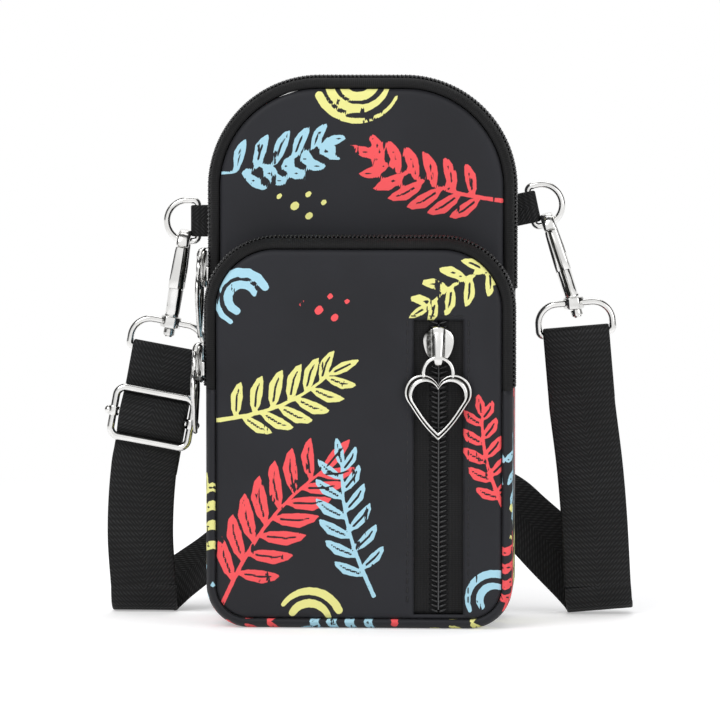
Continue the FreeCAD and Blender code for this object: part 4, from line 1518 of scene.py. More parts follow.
@dataclass
class Slider:
    """Egg-shaped zip slider with a crown bar, nose towards +along."""

    middle: float = 2.2
    nose: float = 5.0
    tail: float = 7.4
    half: float = 5.05
    plate: float = 1.3
    shoulder: float = 0.35
    roof: float = 1.5

    def dome(self) -> bpy.types.Object:
        """The egg plate: a sphere drawn out to an egg with a roof-like top.

        Returns:
            The plate, with a painted shade field that darkens its left facet, the creases at the crown's foot
            and its rim.
        """
        thing = stock("uv_sphere", segments=96, ring_count=48, radius=1.0)
        shades = []
        for vertex in thing.data.vertices:
            x, y, z = vertex.co
            along = self.middle + (self.nose if y > 0 else self.tail) * y
            width = self.half * (1 - 0.10 * max(0.0, -y))
            roof = self.roof * (1 - min(1.0, abs(x)) ** 1.25) * (1 - 0.35 * abs(y) ** 2.5)
            over = self.shoulder + roof * min(1.0, z * 2.2)
            height = self.plate + (over if z > 0 else 0.3 * (z > -0.2))
            vertex.co = (x * width * MM, along * MM, height * MM)
            # painted shade: the left facet as if turned from the light, the creases along the crown's foot,
            # and the rim
            left = min(1.0, 1.6 * max(0.0, 1.0 - abs(x + 0.62) / 0.30)) * (z > 0)
            foot = max(0.0, 1.0 - abs(abs(x) - 0.38) / 0.15) * (z > 0)
            rim = 0.75 if abs(z) < 0.25 else 0.0
            shades.append(max(0.66 * left, 0.8 * foot, rim))
        cavity = thing.data.attributes.new("cavity", "FLOAT", "POINT")
        cavity.data.foreach_set("value", shades)
        return thing

    def crown(self, sides: int = 16) -> bpy.types.Object:
        """The raised bar that holds the link, running from nose to tail."""
        rows = [(half * squared(math.cos(a), 0.8), along, out - thick + thick * math.sin(a))
                for along, out, half, thick in CROWN_STOPS
                for a in (math.tau * k / sides for k in range(sides))]
        thing = new_piece("crown", np.array(rows), tube_faces(len(CROWN_STOPS), sides), NICKEL)
        use_modifier(thing, "SUBSURF", levels=1, render_levels=1)
        return thing

    def flanges(self) -> list:
        """Side walls of the channel that the rows run in, and the keel between the rows."""
        made = [stock("cube", (side * 3.95, 2.3, 0.85), (1.0, 4.6, 1.1), 0.3)
                for side in (-1, 1)]
        return made + [stock("cube", (0, 0.2, -1.6), (5.6, 10.0, 1.0), 0.35)]

    def build(self, name: str, place: Place, body: str) -> None:
        """Make one slider.

        Args:
            name: Piece name.
            place: Where it sits.
            body: Body that it rides, named as its CAD node.
        """
        thing = plated([self.dome(), self.crown(), *self.flanges()], name)
        move_mesh(thing, place)
        smooth_by_angle(thing, 50)
        finish_piece(thing, body, (body,))


HEART_PROFILE = (  # share from the outer to the inner edge, height in half thicknesses, painted shade in the groove and at the edges
    (0.0, -0.35, 0.1), (0.0, 0.20, 0.35), (0.06, 0.70, 0.5), (0.15, 0.95, 0.0), (0.24, 0.75, 0.0),
    (0.33, 0.05, 1.0), (0.40, -0.25, 1.0), (0.47, 0.05, 1.0), (0.56, 0.80, 0.0), (0.70, 1.05, 0.0),
    (0.83, 0.85, 0.0), (0.92, 0.45, 0.8), (1.0, 0.0, 1.0), (1.0, -0.4, 1.0), (0.85, -0.9, 0.3),
    (0.5, -1.0, 0.0), (0.14, -0.9, 0.3))


@dataclass
class HeartPull:
    """Open heart with a double ridge, hung on a round link."""

    width: float = 22.0
    hole: float = 16.4
    band_top: float = 2.7
    link_outer: float = 5.5
    link_inner: float = 4.1
    link_rise: float = 4.7
    thick: float = 1.5

    def lobe(self, width: float, top: float) -> np.ndarray:
        """Half an outline, from the tip round the right lobe to the notch.

        Args:
            width: Width of the whole heart.
            top: Height of the lobes' tops.

        Returns:
            Points as (across, along).
        """
        radius, reach, tip = 0.26 * width, 0.24 * width, top - 0.98 * width
        centre = top - radius
        drop = centre - tip
        touch = math.asin(radius / math.hypot(reach, drop)) + math.atan2(reach, drop)
        notch = math.acos(reach / radius)
        angles = np.linspace(-touch, math.pi - notch, 30)
        arc = np.column_stack([reach + radius * np.cos(angles), centre + radius * np.sin(angles)])
        share = np.linspace(0, 1, 16)[:-1, None]
        low_end = np.array([0, tip])
        side = low_end + (arc[0] - low_end) * share
        out = np.array([arc[0][1] - tip, -arc[0][0]])
        swell = 0.035 * width * np.sin(math.pi * share) * (1 - 0.4 * share)
        side = side + out / np.linalg.norm(out) * swell
        return np.vstack([side, arc])

    def outline(self, width: float, top: float) -> np.ndarray:
        """The whole outline, anticlockwise from the tip."""
        half = self.lobe(width, top)
        mirrored = half[1:-1][::-1] * np.array([-1, 1])
        return np.vstack([half, mirrored])

    def build(self, name: str, place: Place, body: str, node: str) -> None:
        """Make one pull with its link.

        Args:
            name: Piece name.
            place: Where the link hangs.
            body: Body that it rides.
            node: CAD node that it stands for.
        """
        wire = (self.link_outer - self.link_inner) / 2
        top = -self.link_rise - wire
        outer = self.outline(self.width, top)
        inner = self.outline(self.hole, top - self.band_top)
        half = self.thick / 2
        rings = [np.column_stack([(1 - w) * outer + w * inner, np.full(len(outer), h * half)])
                 for w, h, _ in HEART_PROFILE]
        stack = np.stack(rings, axis=1)
        faces = grid_faces(stack.shape[0], stack.shape[1], wrap=True, loop=True)
        # painted shade from the profile's third column: dark in the groove and at the edges
        shades = np.tile([shade for _, _, shade in HEART_PROFILE], len(outer))
        heart = new_piece("heart", stack.reshape(-1, 3), faces, NICKEL, fields={"cavity": shades})
        middle = -(self.link_outer + self.link_inner) / 2
        low = math.degrees(math.asin((top - 0.9 - middle) / (self.link_outer - wire)))
        rows = []
        for a in np.radians(np.linspace(low, 180 - low, 40)):
            for b in (math.tau * k / 12 for k in range(12)):
                r = self.link_outer - wire + wire * math.cos(b)
                rows.append((r * math.cos(a), middle + r * math.sin(a), 1.05 * wire * math.sin(b)))
        link = new_piece("link", np.array(rows), tube_faces(40, 12), NICKEL)
        thing = join([heart, link], name)
        move_mesh(thing, place)
        finish_piece(thing, body, (node,))


def build_sliders() -> None:
    """Three sliders with their heart pulls."""
    lift, reach = 3.8, 3.0
    slider, pull = Slider(), HeartPull()
    for zone in (MAIN, FRONT):
        name, y, z = zone.name, zone.slit, zone.slider_z
        place = Place((-HALF, y, z), (0, 1, 0), (0, 0, -1), (-1, 0, 0))
        slider.build(name + "_zip_slider", place, name + "_slider")
        hang = Place((-HALF - lift, y, z + reach), (0, 1, 0), (0, 0, 1), (-1, 0, 0))
        pull.build(name + "_pull_heart", hang, name + "_pull", name + "_heart_pull")
    x, y, z = 26, -21, 92
    slider.build("pocket_zip_slider", Place((x, y, z), (1, 0, 0), (0, 0, 1), FORWARD), "pocket_slider")
    hang = Place((x, y - lift, z - reach), (1, 0, 0), (0, 0, 1), FORWARD)
    pull.build("pocket_pull_heart", hang, "pocket_pull", "pocket_heart_pull")


# ---------------------------------------------------------------- rings, hooks and eyes
def wire_ring(name: str, course: np.ndarray, radius: float, sides: int = 16) -> bpy.types.Object:
    """A closed wire of round section along a flat course at y = 0.

    Args:
        name: Piece name.
        course: Points as (x, z).
        radius: Radius of the wire.
        sides: Points round the wire.

    Returns:
        The wire.
    """
    ahead = np.roll(course, -1, axis=0) - np.roll(course, 1, axis=0)
    ahead /= np.linalg.norm(ahead, axis=1)[:, None]
    normal = np.column_stack([ahead[:, 1], -ahead[:, 0]])
    points = []
    for k in range(sides):
        a = math.tau * k / sides
        flat = course + normal * (radius * math.cos(a))
        points.append(np.column_stack([flat[:, 0], np.full(len(flat), radius * math.sin(a)), flat[:, 1]]))
    stack = np.stack(points, axis=1).reshape(-1, 3)
    faces = grid_faces(len(course), sides, wrap=True, loop=True)
    return new_piece(name, stack, faces, NICKEL)


def arc_points(x: float, z: float, radius: float, first: float, last: float, step: float) -> list:
    """Points (x, z) round a centre, from an angle to another: 0 is up, 90 to the right."""
    return [(x + radius * math.sin(a), z + radius * math.cos(a))
            for a in np.radians(np.arange(first, last + 0.1, step))]


def round_box(half: float, low: float, high: float, low_corner: float, high_corner: float,
              step: float = 7.5) -> np.ndarray:
    """A closed course with round corners.

    Args:
        half: Half its width.
        low: Its lower side.
        high: Its upper side.
        low_corner: Radius of the lower corners.
        high_corner: Radius of the upper corners.
        step: Angle between the points of a corner.

    Returns:
        Points as (x, z).
    """
    corners = ((half - high_corner, high - high_corner, high_corner, 0),
               (half - low_corner, low + low_corner, low_corner, 90),
               (low_corner - half, low + low_corner, low_corner, 180),
               (high_corner - half, high - high_corner, high_corner, 270))
    return np.array([point for x, z, radius, first in corners
                     for point in arc_points(x, z, radius, first, first + 90, step)])


# stops of the hook's shank and of its gate: z, half width, front y, back y
SHANK_STOPS = (
    (-10.4, 2.2, 1.2, 4.9), (-11.2, 2.55, -0.9, 5.2), (-13.0, 2.6, -1.2, 5.1), (-15.7, 2.6, -1.3, 4.6),
    (-16.0, 2.45, -4.45, 4.3), (-17.5, 2.45, -4.2, 3.9), (-19.5, 2.4, -3.5, 3.2), (-22.0, 2.35, -3.0, 2.9),
    (-24.4, 2.3, -2.8, 2.8), (-25.0, 2.05, -2.5, 2.5))
GATE_STOPS = (
    (-1.9, 1.6, -4.2, -3.2), (-2.2, 2.05, -4.75, -3.0), (-3.4, 2.2, -5.0, -3.0), (-8.0, 2.35, -5.15, -3.0),
    (-13.0, 2.45, -5.0, -2.95), (-15.2, 2.45, -4.7, -2.95), (-15.9, 2.2, -4.4, -3.1))
# post, collar and the two steps of the rivet: radius, z, depth
TURNED_PARTS = ((1.0, -27.6, 5.6), (2.5, -25.2, 0.8), (1.95, -30.8, 2.2), (1.3, -32.1, 0.7))


@dataclass
class Side:
    """One side's tab, ring, hook, gate and swivel eye.

    The groove is its place across the bar, its half width and the strength of the painted shade in it.
    """

    name: str
    side: int
    bar: tuple
    ring_tilt: float
    hook_tilt: float
    eye_tilt: float
    contact: tuple
    boss: tuple
    groove: tuple
    plane: float = 19.5
    wire: float = 1.1
    ring_radius: float = 6.8
    ring_leg: float = 3.6
    eye_half: float = 12.3
    eye_drop: float = 10.2
    eye_wire: float = 1.15

    def set_down(self, thing: bpy.types.Object, tilt: float, spot: tuple) -> None:
        """Tilt a mesh about Y at the origin and set it at an (x, z) spot in the plane of the rings."""
        turn = Matrix.Rotation(math.radians(tilt), 4, "Y")
        thing.data.transform(Matrix.Translation((spot[0] * MM, self.plane * MM, spot[1] * MM)) @ turn)
        thing.data.update()

    def ring(self) -> None:
        """The D-shaped ring."""
        r, c = self.ring_radius, 1.6
        course = np.array(arc_points(c, r - c, c, -90, 0, 15) + arc_points(self.ring_leg, 0, r, 0, 180, 6)
                          + arc_points(c, c - r, c, 180, 270, 15))
        course[:, 0] *= self.side
        thing = wire_ring(self.name + "_ring_wire", course, self.wire)
        self.set_down(thing, self.ring_tilt, self.bar)
        finish_piece(thing, self.name + "_ring", (self.name + "_d_ring",))

    def tab(self) -> None:
        """Folded webbing from the pouch's side round the ring's bar."""
        turn = math.radians(self.ring_tilt)
        across = np.array([math.sin(turn), 0, math.cos(turn)])
        centre = np.array([self.bar[0], self.plane, self.bar[1]])
        out = np.array([self.side * math.cos(turn), 0, -self.side * math.sin(turn)])
        root, fold = HALF - abs(self.bar[0]) - 0.6, 1.85
        line = [(root, -fold), (root / 2, -fold), (0, -fold)]
        line += [(fold * math.sin(a), -fold * math.cos(a)) for a in np.radians(np.arange(20, 161, 20))]
        line += [(0, fold), (root / 2, fold), (root, fold)]
        course = np.array([centre + out * o + BACK * b for o, b in line])
        thing = Strip(self.name + "_tab_web", course, even(across, course), width=10.4, thick=1.2).build()
        finish_piece(thing, Body.POUCH.value, (self.name + "_tab",))

    def claw(self) -> bpy.types.Object:
        """The bent upper part that closes over the ring: a rounded section along a J."""
        low, radius = -1.4, 4.1
        course = [(-radius, low - 0.2, 180.0)]
        course += [(-radius * math.cos(math.radians(a)), low + radius * math.sin(math.radians(a)), 180.0 - a)
                   for a in range(0, 181, 12)]
        course += [(radius, z, 0.0) for z in (-3.5, -6.0, -8.5, -10.8, -12.6)]
        points = []
        for k, (y, z, angle) in enumerate(course):
            out = np.array([0.0, math.cos(math.radians(angle)), math.sin(math.radians(angle))])
            half = 2.15 + 0.4 * min(1.0, max(0.0, (-1.4 - z) / 8.0))
            thick = 1.2 if k else 0.9
            for a in np.radians(np.arange(0, 360, 18)):
                c, s = math.cos(a), math.sin(a)
                across = half * squared(c, 0.6)
                deep = thick * squared(s, 0.75)
                points.append(np.array([across, y, z]) + out * deep)
        return new_piece("claw", np.array(points), tube_faces(len(course), 20), NICKEL)

    def grooved(self, name: str, stops: tuple, sides: int = 72) -> bpy.types.Object:
        """A rounded bar with a groove down its face, darkened with painted shade.

        Args:
            name: Piece name.
            stops: Stations from the top down: z, half width, front y, back y.
            sides: Points round the bar.

        Returns:
            The bar as a closed mesh.
        """
        place, reach, dark = self.groove
        points, shades = [], []
        for z, half, front, back in stops:
            middle, deep = (front + back) / 2, (back - front) / 2
            for a in np.radians(np.arange(0, 360, 360 / sides)):
                x, y = half * squared(math.cos(a), 0.7), middle + deep * squared(math.sin(a), 0.7)
                inside = max(0.0, 1 - abs(x - place) / reach) if math.sin(a) < 0 else 0.0
                y += min(deep * 0.7, 1.1 * min(1.0, 3 * inside))
                points.append((x, y, z))
                # painted shade along the groove, strongest at its middle
                shades.append(min(1.0, dark * inside * 2.2))
        return new_piece(name, np.array(points), tube_faces(len(stops), sides), NICKEL,
                         fields={"cavity": np.array(shades)})

    def hook(self) -> None:
        """Hook with its cheeks, swivel post, collar and rivet, and the sprung gate."""
        parts = [self.claw(), self.grooved("shank", SHANK_STOPS)]
        parts += [stock("cube", (x, -1.5, -14.9), (0.9, 2.0, 3.0), 0.42, 3) for x in (-2.05, 2.05)]
        parts += [turned(radius, deep, (0, 0, z), bevel=0.22, limit=SHARP)
                  for radius, z, deep in TURNED_PARTS]
        casting = plated(parts, self.name + "_hook_casting")
        gate = self.grooved(self.name + "_gate_lever", GATE_STOPS)
        for thing, body, node in ((casting, "_hook", "_snap_hook"), (gate, "_gate", "_hook_gate")):
            smooth_by_angle(thing, 42)
            self.set_down(thing, self.hook_tilt, self.contact)
            finish_piece(thing, self.name + body, (self.name + node,))

    def eye(self) -> None:
        """Swivel eye: round wire loop with a six-sided boss."""
        course = round_box(self.eye_half, -self.eye_drop, 0.0, 1.6, 6.5)
        loop = wire_ring("eye_wire", course, self.eye_wire)
        boss = turned(3.5, 4.0, vertices=6, bevel=0.5, steps=3, rotation=(0, 0, math.radians(30)))
        thing = plated([loop, boss], self.name + "_eye_loop")
        smooth_by_angle(thing, 40)
        self.set_down(thing, self.eye_tilt, self.boss)
        finish_piece(thing, self.name + "_eye", (self.name + "_swivel_eye",))

    def build(self) -> None:
        """Make this side's hardware."""
        self.tab()
        self.ring()
        self.hook()
        self.eye()


# groove: place across the bar, half width and strength of the painted shade
LEFT = Side("left", -1, bar=(-55.6, 131.1), ring_tilt=0.0, hook_tilt=9.5, eye_tilt=10.5,
            contact=(-60.322, 124.393), boss=(-64.861, 97.270), groove=(1.75, 1.0, 0.75))
RIGHT = Side("right", 1, bar=(55.0, 135.9), ring_tilt=-12.0, hook_tilt=-17.5, eye_tilt=-5.0,
             contact=(61.014, 130.322), boss=(69.283, 104.094), groove=(-0.45, 0.52, 1.0))


# ---------------------------------------------------------------- strap
@dataclass
class Strip:
    """Flat webbing along a course of points, with a width direction at each."""

    name: str
    course: np.ndarray
    across: np.ndarray
    width: float = 22.0
    thick: float = 1.2
    start: float = 0.0
    ahead: np.ndarray | None = None

    def section(self) -> list:
        """The webbing's section with round edges, as (across, face) points."""
        half, edge = self.width / 2, self.thick / 2
        flat = np.linspace(-half + edge, half - edge, 9)
        turns = np.radians((30, 60, 90, 120, 150))
        made = [(w, edge) for w in flat]
        made += [(half - edge + edge * math.sin(a), edge * math.cos(a)) for a in turns]
        made += [(w, -edge) for w in flat[::-1]]
        return made + [(-half + edge - edge * math.sin(a), -edge * math.cos(a)) for a in turns]

    def build(self) -> bpy.types.Object:
        """Make the webbing, kept above the floor.

        Returns:
            A closed strip with a UV map in metres.
        """
        course = np.asarray(self.course, float)
        ahead = np.gradient(course, axis=0) if self.ahead is None else self.ahead.copy()
        ahead /= np.linalg.norm(ahead, axis=1)[:, None]
        across = self.across - np.sum(self.across * ahead, axis=1)[:, None] * ahead
        across /= np.linalg.norm(across, axis=1)[:, None]
        face = np.cross(ahead, across)
        section = self.section()
        rows, columns = len(course), len(section)
        points, uvs = np.empty((rows, columns, 3)), np.empty((rows, columns, 2))
        uvs[:, :, 0] = (run_lengths(course) + self.start)[:, None] * MM
        for j, (w, t) in enumerate(section):
            points[:, j] = course + across * w + face * t
            uvs[:, j, 1] = w * MM
        points[..., 2] = np.maximum(points[..., 2], GROUND_GAP)
        thing = new_piece(self.name, points.reshape(-1, 3), tube_faces(rows, columns), "webbing",
                          uvs.reshape(-1, 2))
        smooth_by_angle(thing, 50)
        return thing


def curve_through(stops: list, step: float = 1.5) -> tuple[np.ndarray, np.ndarray]:
    """A smooth course through (point, width direction) stops.

    Args:
        stops: Pairs of three-number tuples.
        step: Distance between the points that come back.

    Returns:
        Points and width directions.
    """
    points = np.array([s[0] for s in stops], float)
    sides = np.array([s[1] for s in stops], float)
    sides /= np.linalg.norm(sides, axis=1)[:, None]
    course, across = [], []
    for i in range(len(points) - 1):
        p0 = points[max(i - 1, 0)]
        p1, p2 = points[i], points[i + 1]
        p3 = points[min(i + 2, len(points) - 1)]
        span = np.linalg.norm(p2 - p1)
        m1 = (p2 - p0) / max(np.linalg.norm(p2 - p0), 1e-9) * span
        m2 = (p3 - p1) / max(np.linalg.norm(p3 - p1), 1e-9) * span
        count = max(2, round(span / step))
        for k in range(count + (i == len(points) - 2)):
            t = k / count
            ease = t * t * (3 - 2 * t)
            course.append((2 * t ** 3 - 3 * t ** 2 + 1) * p1 + (t ** 3 - 2 * t ** 2 + t) * m1
                          + (-2 * t ** 3 + 3 * t ** 2) * p2 + (t ** 3 - t ** 2) * m2)
            side = sides[i] * (1 - ease) + sides[i + 1] * ease
            across.append(side / np.linalg.norm(side))
    return np.array(course), np.array(across)


def even(direction: np.ndarray, course: np.ndarray) -> np.ndarray:
    """The same direction for every point of a course."""
    return np.repeat(direction[None, :], len(course), axis=0)


# stops of the strap from each foot to the folds behind the pouch: point, width direction
LEFT_RUN = [
    ((-74.0, 17.6, 9.0), (1, 0, 0)), ((-74.0, 17.7, 7.0), (1, 0, 0)), ((-74.0, 18.4, 4.4), (1, 0, 0)),
    ((-74.0, 20.2, 2.2), (1, 0, 0)), ((-74.0, 23.0, 0.9), (1, 0, 0)), ((-73.9, 25.7, 0.8), (1, -0.1, 0)),
    ((-73.4, 28.6, 1.7), (0.95, -0.30, -0.05)), ((-69.8, 31.3, 4.9), (0.72, -0.62, -0.25)),
    ((-63.0, 33.0, 10.2), (0.55, -0.76, -0.36)), ((-52.0, 34.5, 18.5), (0.38, -0.82, -0.43)),
    ((-36.0, 35.0, 32.0), (0.20, -0.95, -0.25)), ((-22.0, 35.0, 47.0), (0, -1, 0)),
    ((-15.6, 35.0, 60.0), (0, -1, 0)), ((-15.0, 35.0, 66.0), (0, -1, 0))]
RIGHT_RUN = [
    ((77.6, 17.6, 10.0), (1, 0, 0.087)), ((77.8, 17.7, 8.0), (1, 0, 0.087)),
    ((78.0, 18.4, 5.2), (1, 0, 0.087)), ((78.2, 20.2, 3.1), (1, 0, 0.087)),
    ((78.3, 23.0, 1.8), (1, 0, 0.087)), ((78.3, 25.5, 1.9), (1, 0.03, 0.1)),
    ((78.0, 29.0, 3.1), (0.98, 0.10, 0.16)), ((75.0, 31.0, 8.0), (0.88, 0.16, 0.42)),
    ((66.0, 31.5, 17.5), (0.72, 0.20, 0.66)), ((50.0, 34.0, 33.0), (0.60, 0.50, 0.62)),
    ((32.0, 35.0, 50.0), (0.20, 0.95, 0.20)), ((19.0, 35.0, 64.0), (0, 1, 0)),
    ((15.3, 35.0, 74.0), (0, 1, 0)), ((15.0, 35.0, 80.0), (0, 1, 0))]
# half of the webbing's turn over the buckle's bar: along, out
TURN_HALF = ((-9.4, -2.0), (-8.3, -2.0), (-6.9, -1.5), (-4.8, 0.1), (-2.6, 1.6), (-0.9, 2.15))


@dataclass(frozen=True)
class Hang:
    """How one end of the strap hangs: layers' ends, bow, height marks and the foot's width direction."""

    side: Side
    tail: float
    front_end: float
    bow: float
    split: tuple
    foot: tuple
    foot_side: tuple


HANGS = (Hang(LEFT, 40.0, 34.0, 1.6, (40.0, 25.0), (-74.0, 17.6, 9.0), (1, 0, 0)),
         Hang(RIGHT, 22.0, 20.0, 0.8, (52.0, 31.0), (77.6, 17.6, 10.0), (1, 0, 0.087)))


@dataclass
class Strap:
    """The shoulder strap with its slide buckle and folded spare length."""

    layer: float = 1.9
    hank_y: float = 35.0
    hank_pitch: float = 6.0
    hank_runs: int = 6
    hank_top: float = 142.0
    buckle_drop: float = 21.8
    buckle_stand: float = 3.25

    @staticmethod
    def eye_frame(side: Side) -> tuple[np.ndarray, np.ndarray, np.ndarray]:
        """Middle of an eye's lower bar, its downward direction and its width direction."""
        turn = math.radians(side.eye_tilt)
        down = np.array([-math.sin(turn), 0, -math.cos(turn)])
        across = np.array([math.cos(turn), 0, -math.sin(turn)])
        bar = np.array([side.boss[0], side.plane, side.boss[1]]) + down * side.eye_drop
        return bar, down, across

    def loop(self, hang: Hang) -> None:
        """The doubled webbing over an eye's bar: tail up the back, over, and down the front."""
        bar, down, across = self.eye_frame(hang.side)
        layer, tail = self.layer, hang.tail
        line = [(-tail, layer), (-tail * 0.6, layer + 0.15), (-tail * 0.3, layer + 0.1), (-3.0, layer)]
        line += [(layer * math.sin(a), layer * math.cos(a)) for a in np.radians(np.arange(0, 181, 20))]
        steps = max(3, round(hang.front_end / 2))
        line += [(-3.0 - (hang.front_end - 3.0) * k / steps, -layer) for k in range(steps + 1)]
        course = np.array([bar - down * v + BACK * b for v, b in line])
        name = hang.side.name
        thing = Strip(name + "_strap_loop", course, even(across, course)).build()
        finish_piece(thing, name + "_eye", (f"strap_{name}_loop",))

    def drop(self, hang: Hang) -> None:
        """The hanging front layer in three pieces, cut at the split heights."""
        bar, down, across = self.eye_frame(hang.side)
        name = hang.side.name
        start = bar + down * hang.front_end - BACK * self.layer
        low = np.array(hang.foot, float)
        stops = [(start - down * 4.0, across), (start, across), (start + down * 4.5, across)]
        for share in (0.38, 0.66, 1.0):
            bow = hang.side.side * math.sin(math.pi * share) * hang.bow
            twist = min(1.0, share * 1.6)
            stops.append((start + (low - start) * share + np.array([bow, 0, 0]),
                          across * (1 - twist) + np.array(hang.foot_side) * twist))
        course, sides = curve_through(stops, 1.0)
        begin = int(np.argmin(np.linalg.norm(course - start, axis=1)))
        course, sides = course[begin:], sides[begin:]
        lengths = run_lengths(course)
        ahead = np.gradient(course, axis=0)
        ahead[0] = down
        splits = [int(np.argmin(np.abs(course[:, 2] - z))) for z in hang.split]
        cuts = [0, *splits, len(course) - 1]
        chain = (name + "_eye", name + "_hook", name + "_ring", Body.POUCH.value)
        for k, (first, last) in enumerate(zip(cuts, cuts[1:])):
            rows = slice(first, last + 1)
            piece = Strip(f"{name}_strap_drop_{k + 1}", course[rows], sides[rows], start=lengths[first],
                          ahead=ahead[rows]).build()
            bend_piece(piece, (chain[k], chain[k + 1]), tuple(course[first]), tuple(course[last]),
                       () if k else (f"strap_{name}_drop",))

    def runs(self) -> None:
        """From both feet on the surface round behind the pouch."""
        for word, stops in (("left", LEFT_RUN), ("right", RIGHT_RUN)):
            course, sides = curve_through(stops)
            thing = Strip(word + "_strap_run", course, sides).build()
            finish_piece(thing, Body.POUCH.value, (f"strap_{word}_run",))

    def hank(self) -> None:
        """The spare length in upright folds."""
        radius = self.hank_pitch / 2
        first = -self.hank_pitch * (self.hank_runs - 1) / 2
        low = 0.7 + radius
        line = [(first, 66.0), (first, 100.0)]
        for k in range(self.hank_runs - 1):
            x = first + self.hank_pitch * k + radius
            over = k % 2 == 0
            level = self.hank_top - 1.6 * (k % 3) if over else low + 0.9 * (k % 2)
            sign = 1 if over else -1
            line += [(x + radius * math.sin(a), level + sign * radius * math.cos(a))
                     for a in np.radians(np.arange(-90, 91, 15))]
            if k < self.hank_runs - 2:
                line.append((x + radius, 70.0 + 3 * math.sin(k)))
        line += [(-first, 100.0), (-first, 80.0)]
        course = []
        for (x0, z0), (x1, z1) in zip(line, line[1:]):
            count = max(1, round(math.hypot(x1 - x0, z1 - z0) / 2.5))
            course += [(x0 + (x1 - x0) * t / count, z0 + (z1 - z0) * t / count) for t in range(count)]
        flat = np.array([*course, line[-1]])
        wander = 0.45 * np.sin(np.arange(len(flat)) * 0.11)
        spine = np.column_stack([flat[:, 0], self.hank_y + wander, flat[:, 1]])
        thing = Strip("strap_folds", spine, even(BACK, spine)).build()
        finish_piece(thing, Body.POUCH.value, ("strap_hank",))

    def tie(self) -> None:
        """A narrow band round the folds at half height."""
        half_x, half_y, z, corner = 16.6, 11.9, 96.0, 2.5
        course = round_box(half_x, -half_y, half_y, corner, corner, 15)
        ring = np.column_stack([course[:, 0], self.hank_y + course[:, 1], np.full(len(course), z)])
        ring = np.vstack([ring, ring[:1]])
        band = Strip("strap_tie", ring, even(UP, ring), width=8.0, thick=0.9).build()
        finish_piece(band, Body.POUCH.value)

    def buckle(self, side: Side) -> None:
        """Wire frame, loose bar with end caps, and the webbing's turn over the bar."""
        bar, down, across = self.eye_frame(side)
        centre = bar + down * self.buckle_drop - BACK * (self.layer + self.buckle_stand)
        place = Place(tuple(centre), tuple(across), tuple(-down), FORWARD)
        frame = wire_ring("slide_frame", round_box(13.1, -8.3, 8.3, 3.0, 3.0), 1.25)
        frame.data.transform(Matrix(((1, 0, 0, 0), (0, 0, 1, 0), (0, -1, 0, 0), (0, 0, 0, 1))))
        move_mesh(frame, place)
        finish_piece(frame, "buckle", ("slide_buckle_frame",))
        parts = [turned(1.05, 28.8, rotation=(0, math.radians(90), 0))]
        for end in (-1, 1):
            parts.append(turned(1.85, 3.2, (end * 13.1, 0, 0), bevel=0.4, limit=SHARP,
                                rotation=(math.radians(90), 0, 0)))
            parts.append(stock("uv_sphere", (end * 14.7, 0, 0), segments=20, ring_count=12, radius=1.45 * MM))
        pin = plated(parts, "slide_bar")
        move_mesh(pin, place)
        smooth_by_angle(pin, 40)
        finish_piece(pin, "buckle_bar", ("slide_buckle_bar",))
        line = [*TURN_HALF, *((-v, o) for v, o in reversed(TURN_HALF))]
        course, sides = curve_through([(place.put(np.array([0, v, o])), across) for v, o in line], 0.7)
        turn = Strip("strap_turn", course, sides, start=18.0).build()
        finish_piece(turn, "buckle", ("strap_buckle_turn",))

    def build(self) -> None:
        """Make the strap."""
        for hang in HANGS:
            self.loop(hang)
        for hang in HANGS:
            self.drop(hang)
        self.runs()
        self.hank()
        self.tie()
        self.buckle(LEFT)


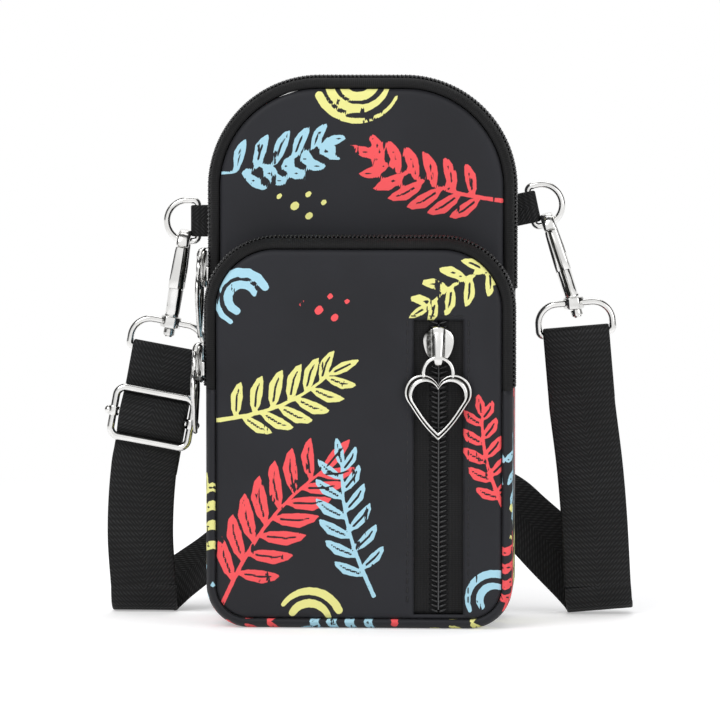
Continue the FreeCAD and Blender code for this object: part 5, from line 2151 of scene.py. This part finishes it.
# ---------------------------------------------------------------- studio
@dataclass
class Studio:
    """Floor, lights, world and camera."""

    azimuth: float = 3.0
    elevation: float = 4.3
    distance: float = 1700.0
    view_width: float = 0.329 * 720
    target: tuple = (-0.7, 0.0, 86.3)

    def floor(self) -> None:
        """A wide pale floor that keeps the shadow and goes white away from it."""
        ground = stock("plane", size=14.0)
        ground.name = "floor"
        material = bpy.data.materials.new("pale_floor")
        graph = emptied(material)
        diffuse = graph.node("BsdfDiffuse", {"Color": (0.80, 0.80, 0.81, 1.0)})
        glow = graph.node("Emission", {"Color": (1, 1, 1, 1), "Strength": 0.34})
        both = graph.node("AddShader", {0: diffuse.outputs[0], 1: glow.outputs[0]})
        reach = graph.node("VectorMath", {0: graph.node("TexCoord").outputs["Object"]}, operation="LENGTH")
        far = graph.spread(reach.outputs["Value"], 0.16, 0.50)
        white = graph.node("Emission", {"Color": (1, 1, 1, 1), "Strength": 1.0})
        near_or_far = graph.node("MixShader", {0: far, 1: both.outputs[0], 2: white.outputs[0]})
        seen = graph.node("LightPath")
        any_ray = graph.calc("MAXIMUM", seen.outputs["Is Camera Ray"], seen.outputs["Is Glossy Ray"])
        pick_one = graph.node("MixShader", {0: any_ray, 1: diffuse.outputs[0], 2: near_or_far.outputs[0]})
        out = graph.node("OutputMaterial")
        graph.tree.links.new(pick_one.outputs[0], out.inputs[0])
        ground.data.materials.append(material)

    def world(self) -> None:
        """Soft white surroundings, white behind the object."""
        world = bpy.data.worlds.new("studio")
        bpy.context.scene.world = world
        graph = emptied(world)
        light = graph.node("Background", {"Color": (1.0, 1.0, 1.0, 1.0), "Strength": 0.62})
        white = graph.node("Background", {"Color": (1.0, 1.0, 1.0, 1.0), "Strength": 1.0})
        place = graph.node("TexCoord").outputs["Generated"]
        axes = graph.node("SeparateXYZ", {0: place})
        front = graph.spread(axes.outputs[1], -0.60, -0.34, 1.0, 0.0)
        behind = graph.spread(axes.outputs[1], 0.45, 0.72, 0.0, 1.0)
        left_edge = graph.spread(axes.outputs[0], -0.62, -0.40, 1.0, 0.0)
        leftish = graph.calc("MULTIPLY", left_edge, graph.spread(axes.outputs[1], -0.85, -0.70, 0.0, 1.0))
        dimmed = graph.calc("MULTIPLY", front, graph.calc("MULTIPLY_ADD", leftish, -0.6, 1.0))
        ramp = graph.calc("MULTIPLY_ADD", graph.calc("MAXIMUM", dimmed, behind), 1.02, 0.03)
        gloss = graph.node("Background", {"Color": (1.0, 1.0, 1.0, 1.0), "Strength": ramp})
        rays = graph.node("LightPath")
        first = graph.node("MixShader", {0: rays.outputs["Is Glossy Ray"], 1: light.outputs[0],
                                         2: gloss.outputs[0]})
        second = graph.node("MixShader", {0: rays.outputs["Is Camera Ray"], 1: first.outputs[0],
                                          2: white.outputs[0]})
        out = graph.node("OutputWorld")
        graph.tree.links.new(second.outputs[0], out.inputs[0])

    def lamp(self, name: str, place: tuple, size: float, power: float) -> None:
        """A square area lamp that faces the pouch.

        Args:
            name: Its name.
            place: Its place in metres.
            size: Its side in metres.
            power: Its power in watts.
        """
        data = bpy.data.lights.new(name, "AREA")
        data.shape = "SQUARE"
        data.size = size
        data.energy = power
        lamp = bpy.data.objects.new(name, data)
        bpy.context.scene.collection.objects.link(lamp)
        spot = Vector(place)
        lamp.location = spot
        lamp.rotation_euler = (Vector((0, 0, 0.09)) - spot).to_track_quat("-Z", "Y").to_euler()

    def camera(self) -> None:
        """The camera at the photograph's angle."""
        data = bpy.data.cameras.new("camera")
        data.sensor_width = 36.0
        data.lens = 36.0 * self.distance / self.view_width
        data.clip_end = 100.0
        camera = bpy.data.objects.new("camera", data)
        bpy.context.scene.collection.objects.link(camera)
        a, e = math.radians(self.azimuth), math.radians(self.elevation)
        back = Vector((math.sin(a) * math.cos(e), -math.cos(a) * math.cos(e), math.sin(e)))
        target = Vector(self.target) * MM
        camera.location = target + back * self.distance * MM
        camera.rotation_euler = (-back).to_track_quat("-Z", "Y").to_euler()
        bpy.context.scene.camera = camera

    def build(self) -> None:
        """Set up the studio."""
        self.floor()
        self.world()
        self.lamp("key", (-0.9, -1.2, 1.5), 1.1, 16.0)
        self.lamp("fill", (1.4, -1.0, 0.7), 1.2, 7.0)
        self.lamp("top", (0.1, 0.5, 1.7), 1.2, 8.0)
        self.camera()
        bpy.context.scene.view_settings.view_transform = "Standard"


def main() -> None:
    """Build every class in order."""
    logging.basicConfig(level=logging.INFO, format="%(message)s")
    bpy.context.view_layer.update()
    Studio().build()
    for finish in FINISHES:
        finish.build()
    Shell().build()
    Coil().build()
    PocketZip().build()
    Stitching().build()
    build_sliders()
    LEFT.build()
    RIGHT.build()
    Strap().build()


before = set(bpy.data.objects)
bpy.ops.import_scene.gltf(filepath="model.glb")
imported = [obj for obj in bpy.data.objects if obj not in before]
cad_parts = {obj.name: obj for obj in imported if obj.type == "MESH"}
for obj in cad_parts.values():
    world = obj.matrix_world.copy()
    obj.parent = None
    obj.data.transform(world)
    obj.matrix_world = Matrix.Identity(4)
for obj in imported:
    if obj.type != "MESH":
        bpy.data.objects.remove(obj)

if __name__ == "__main__":
    main()
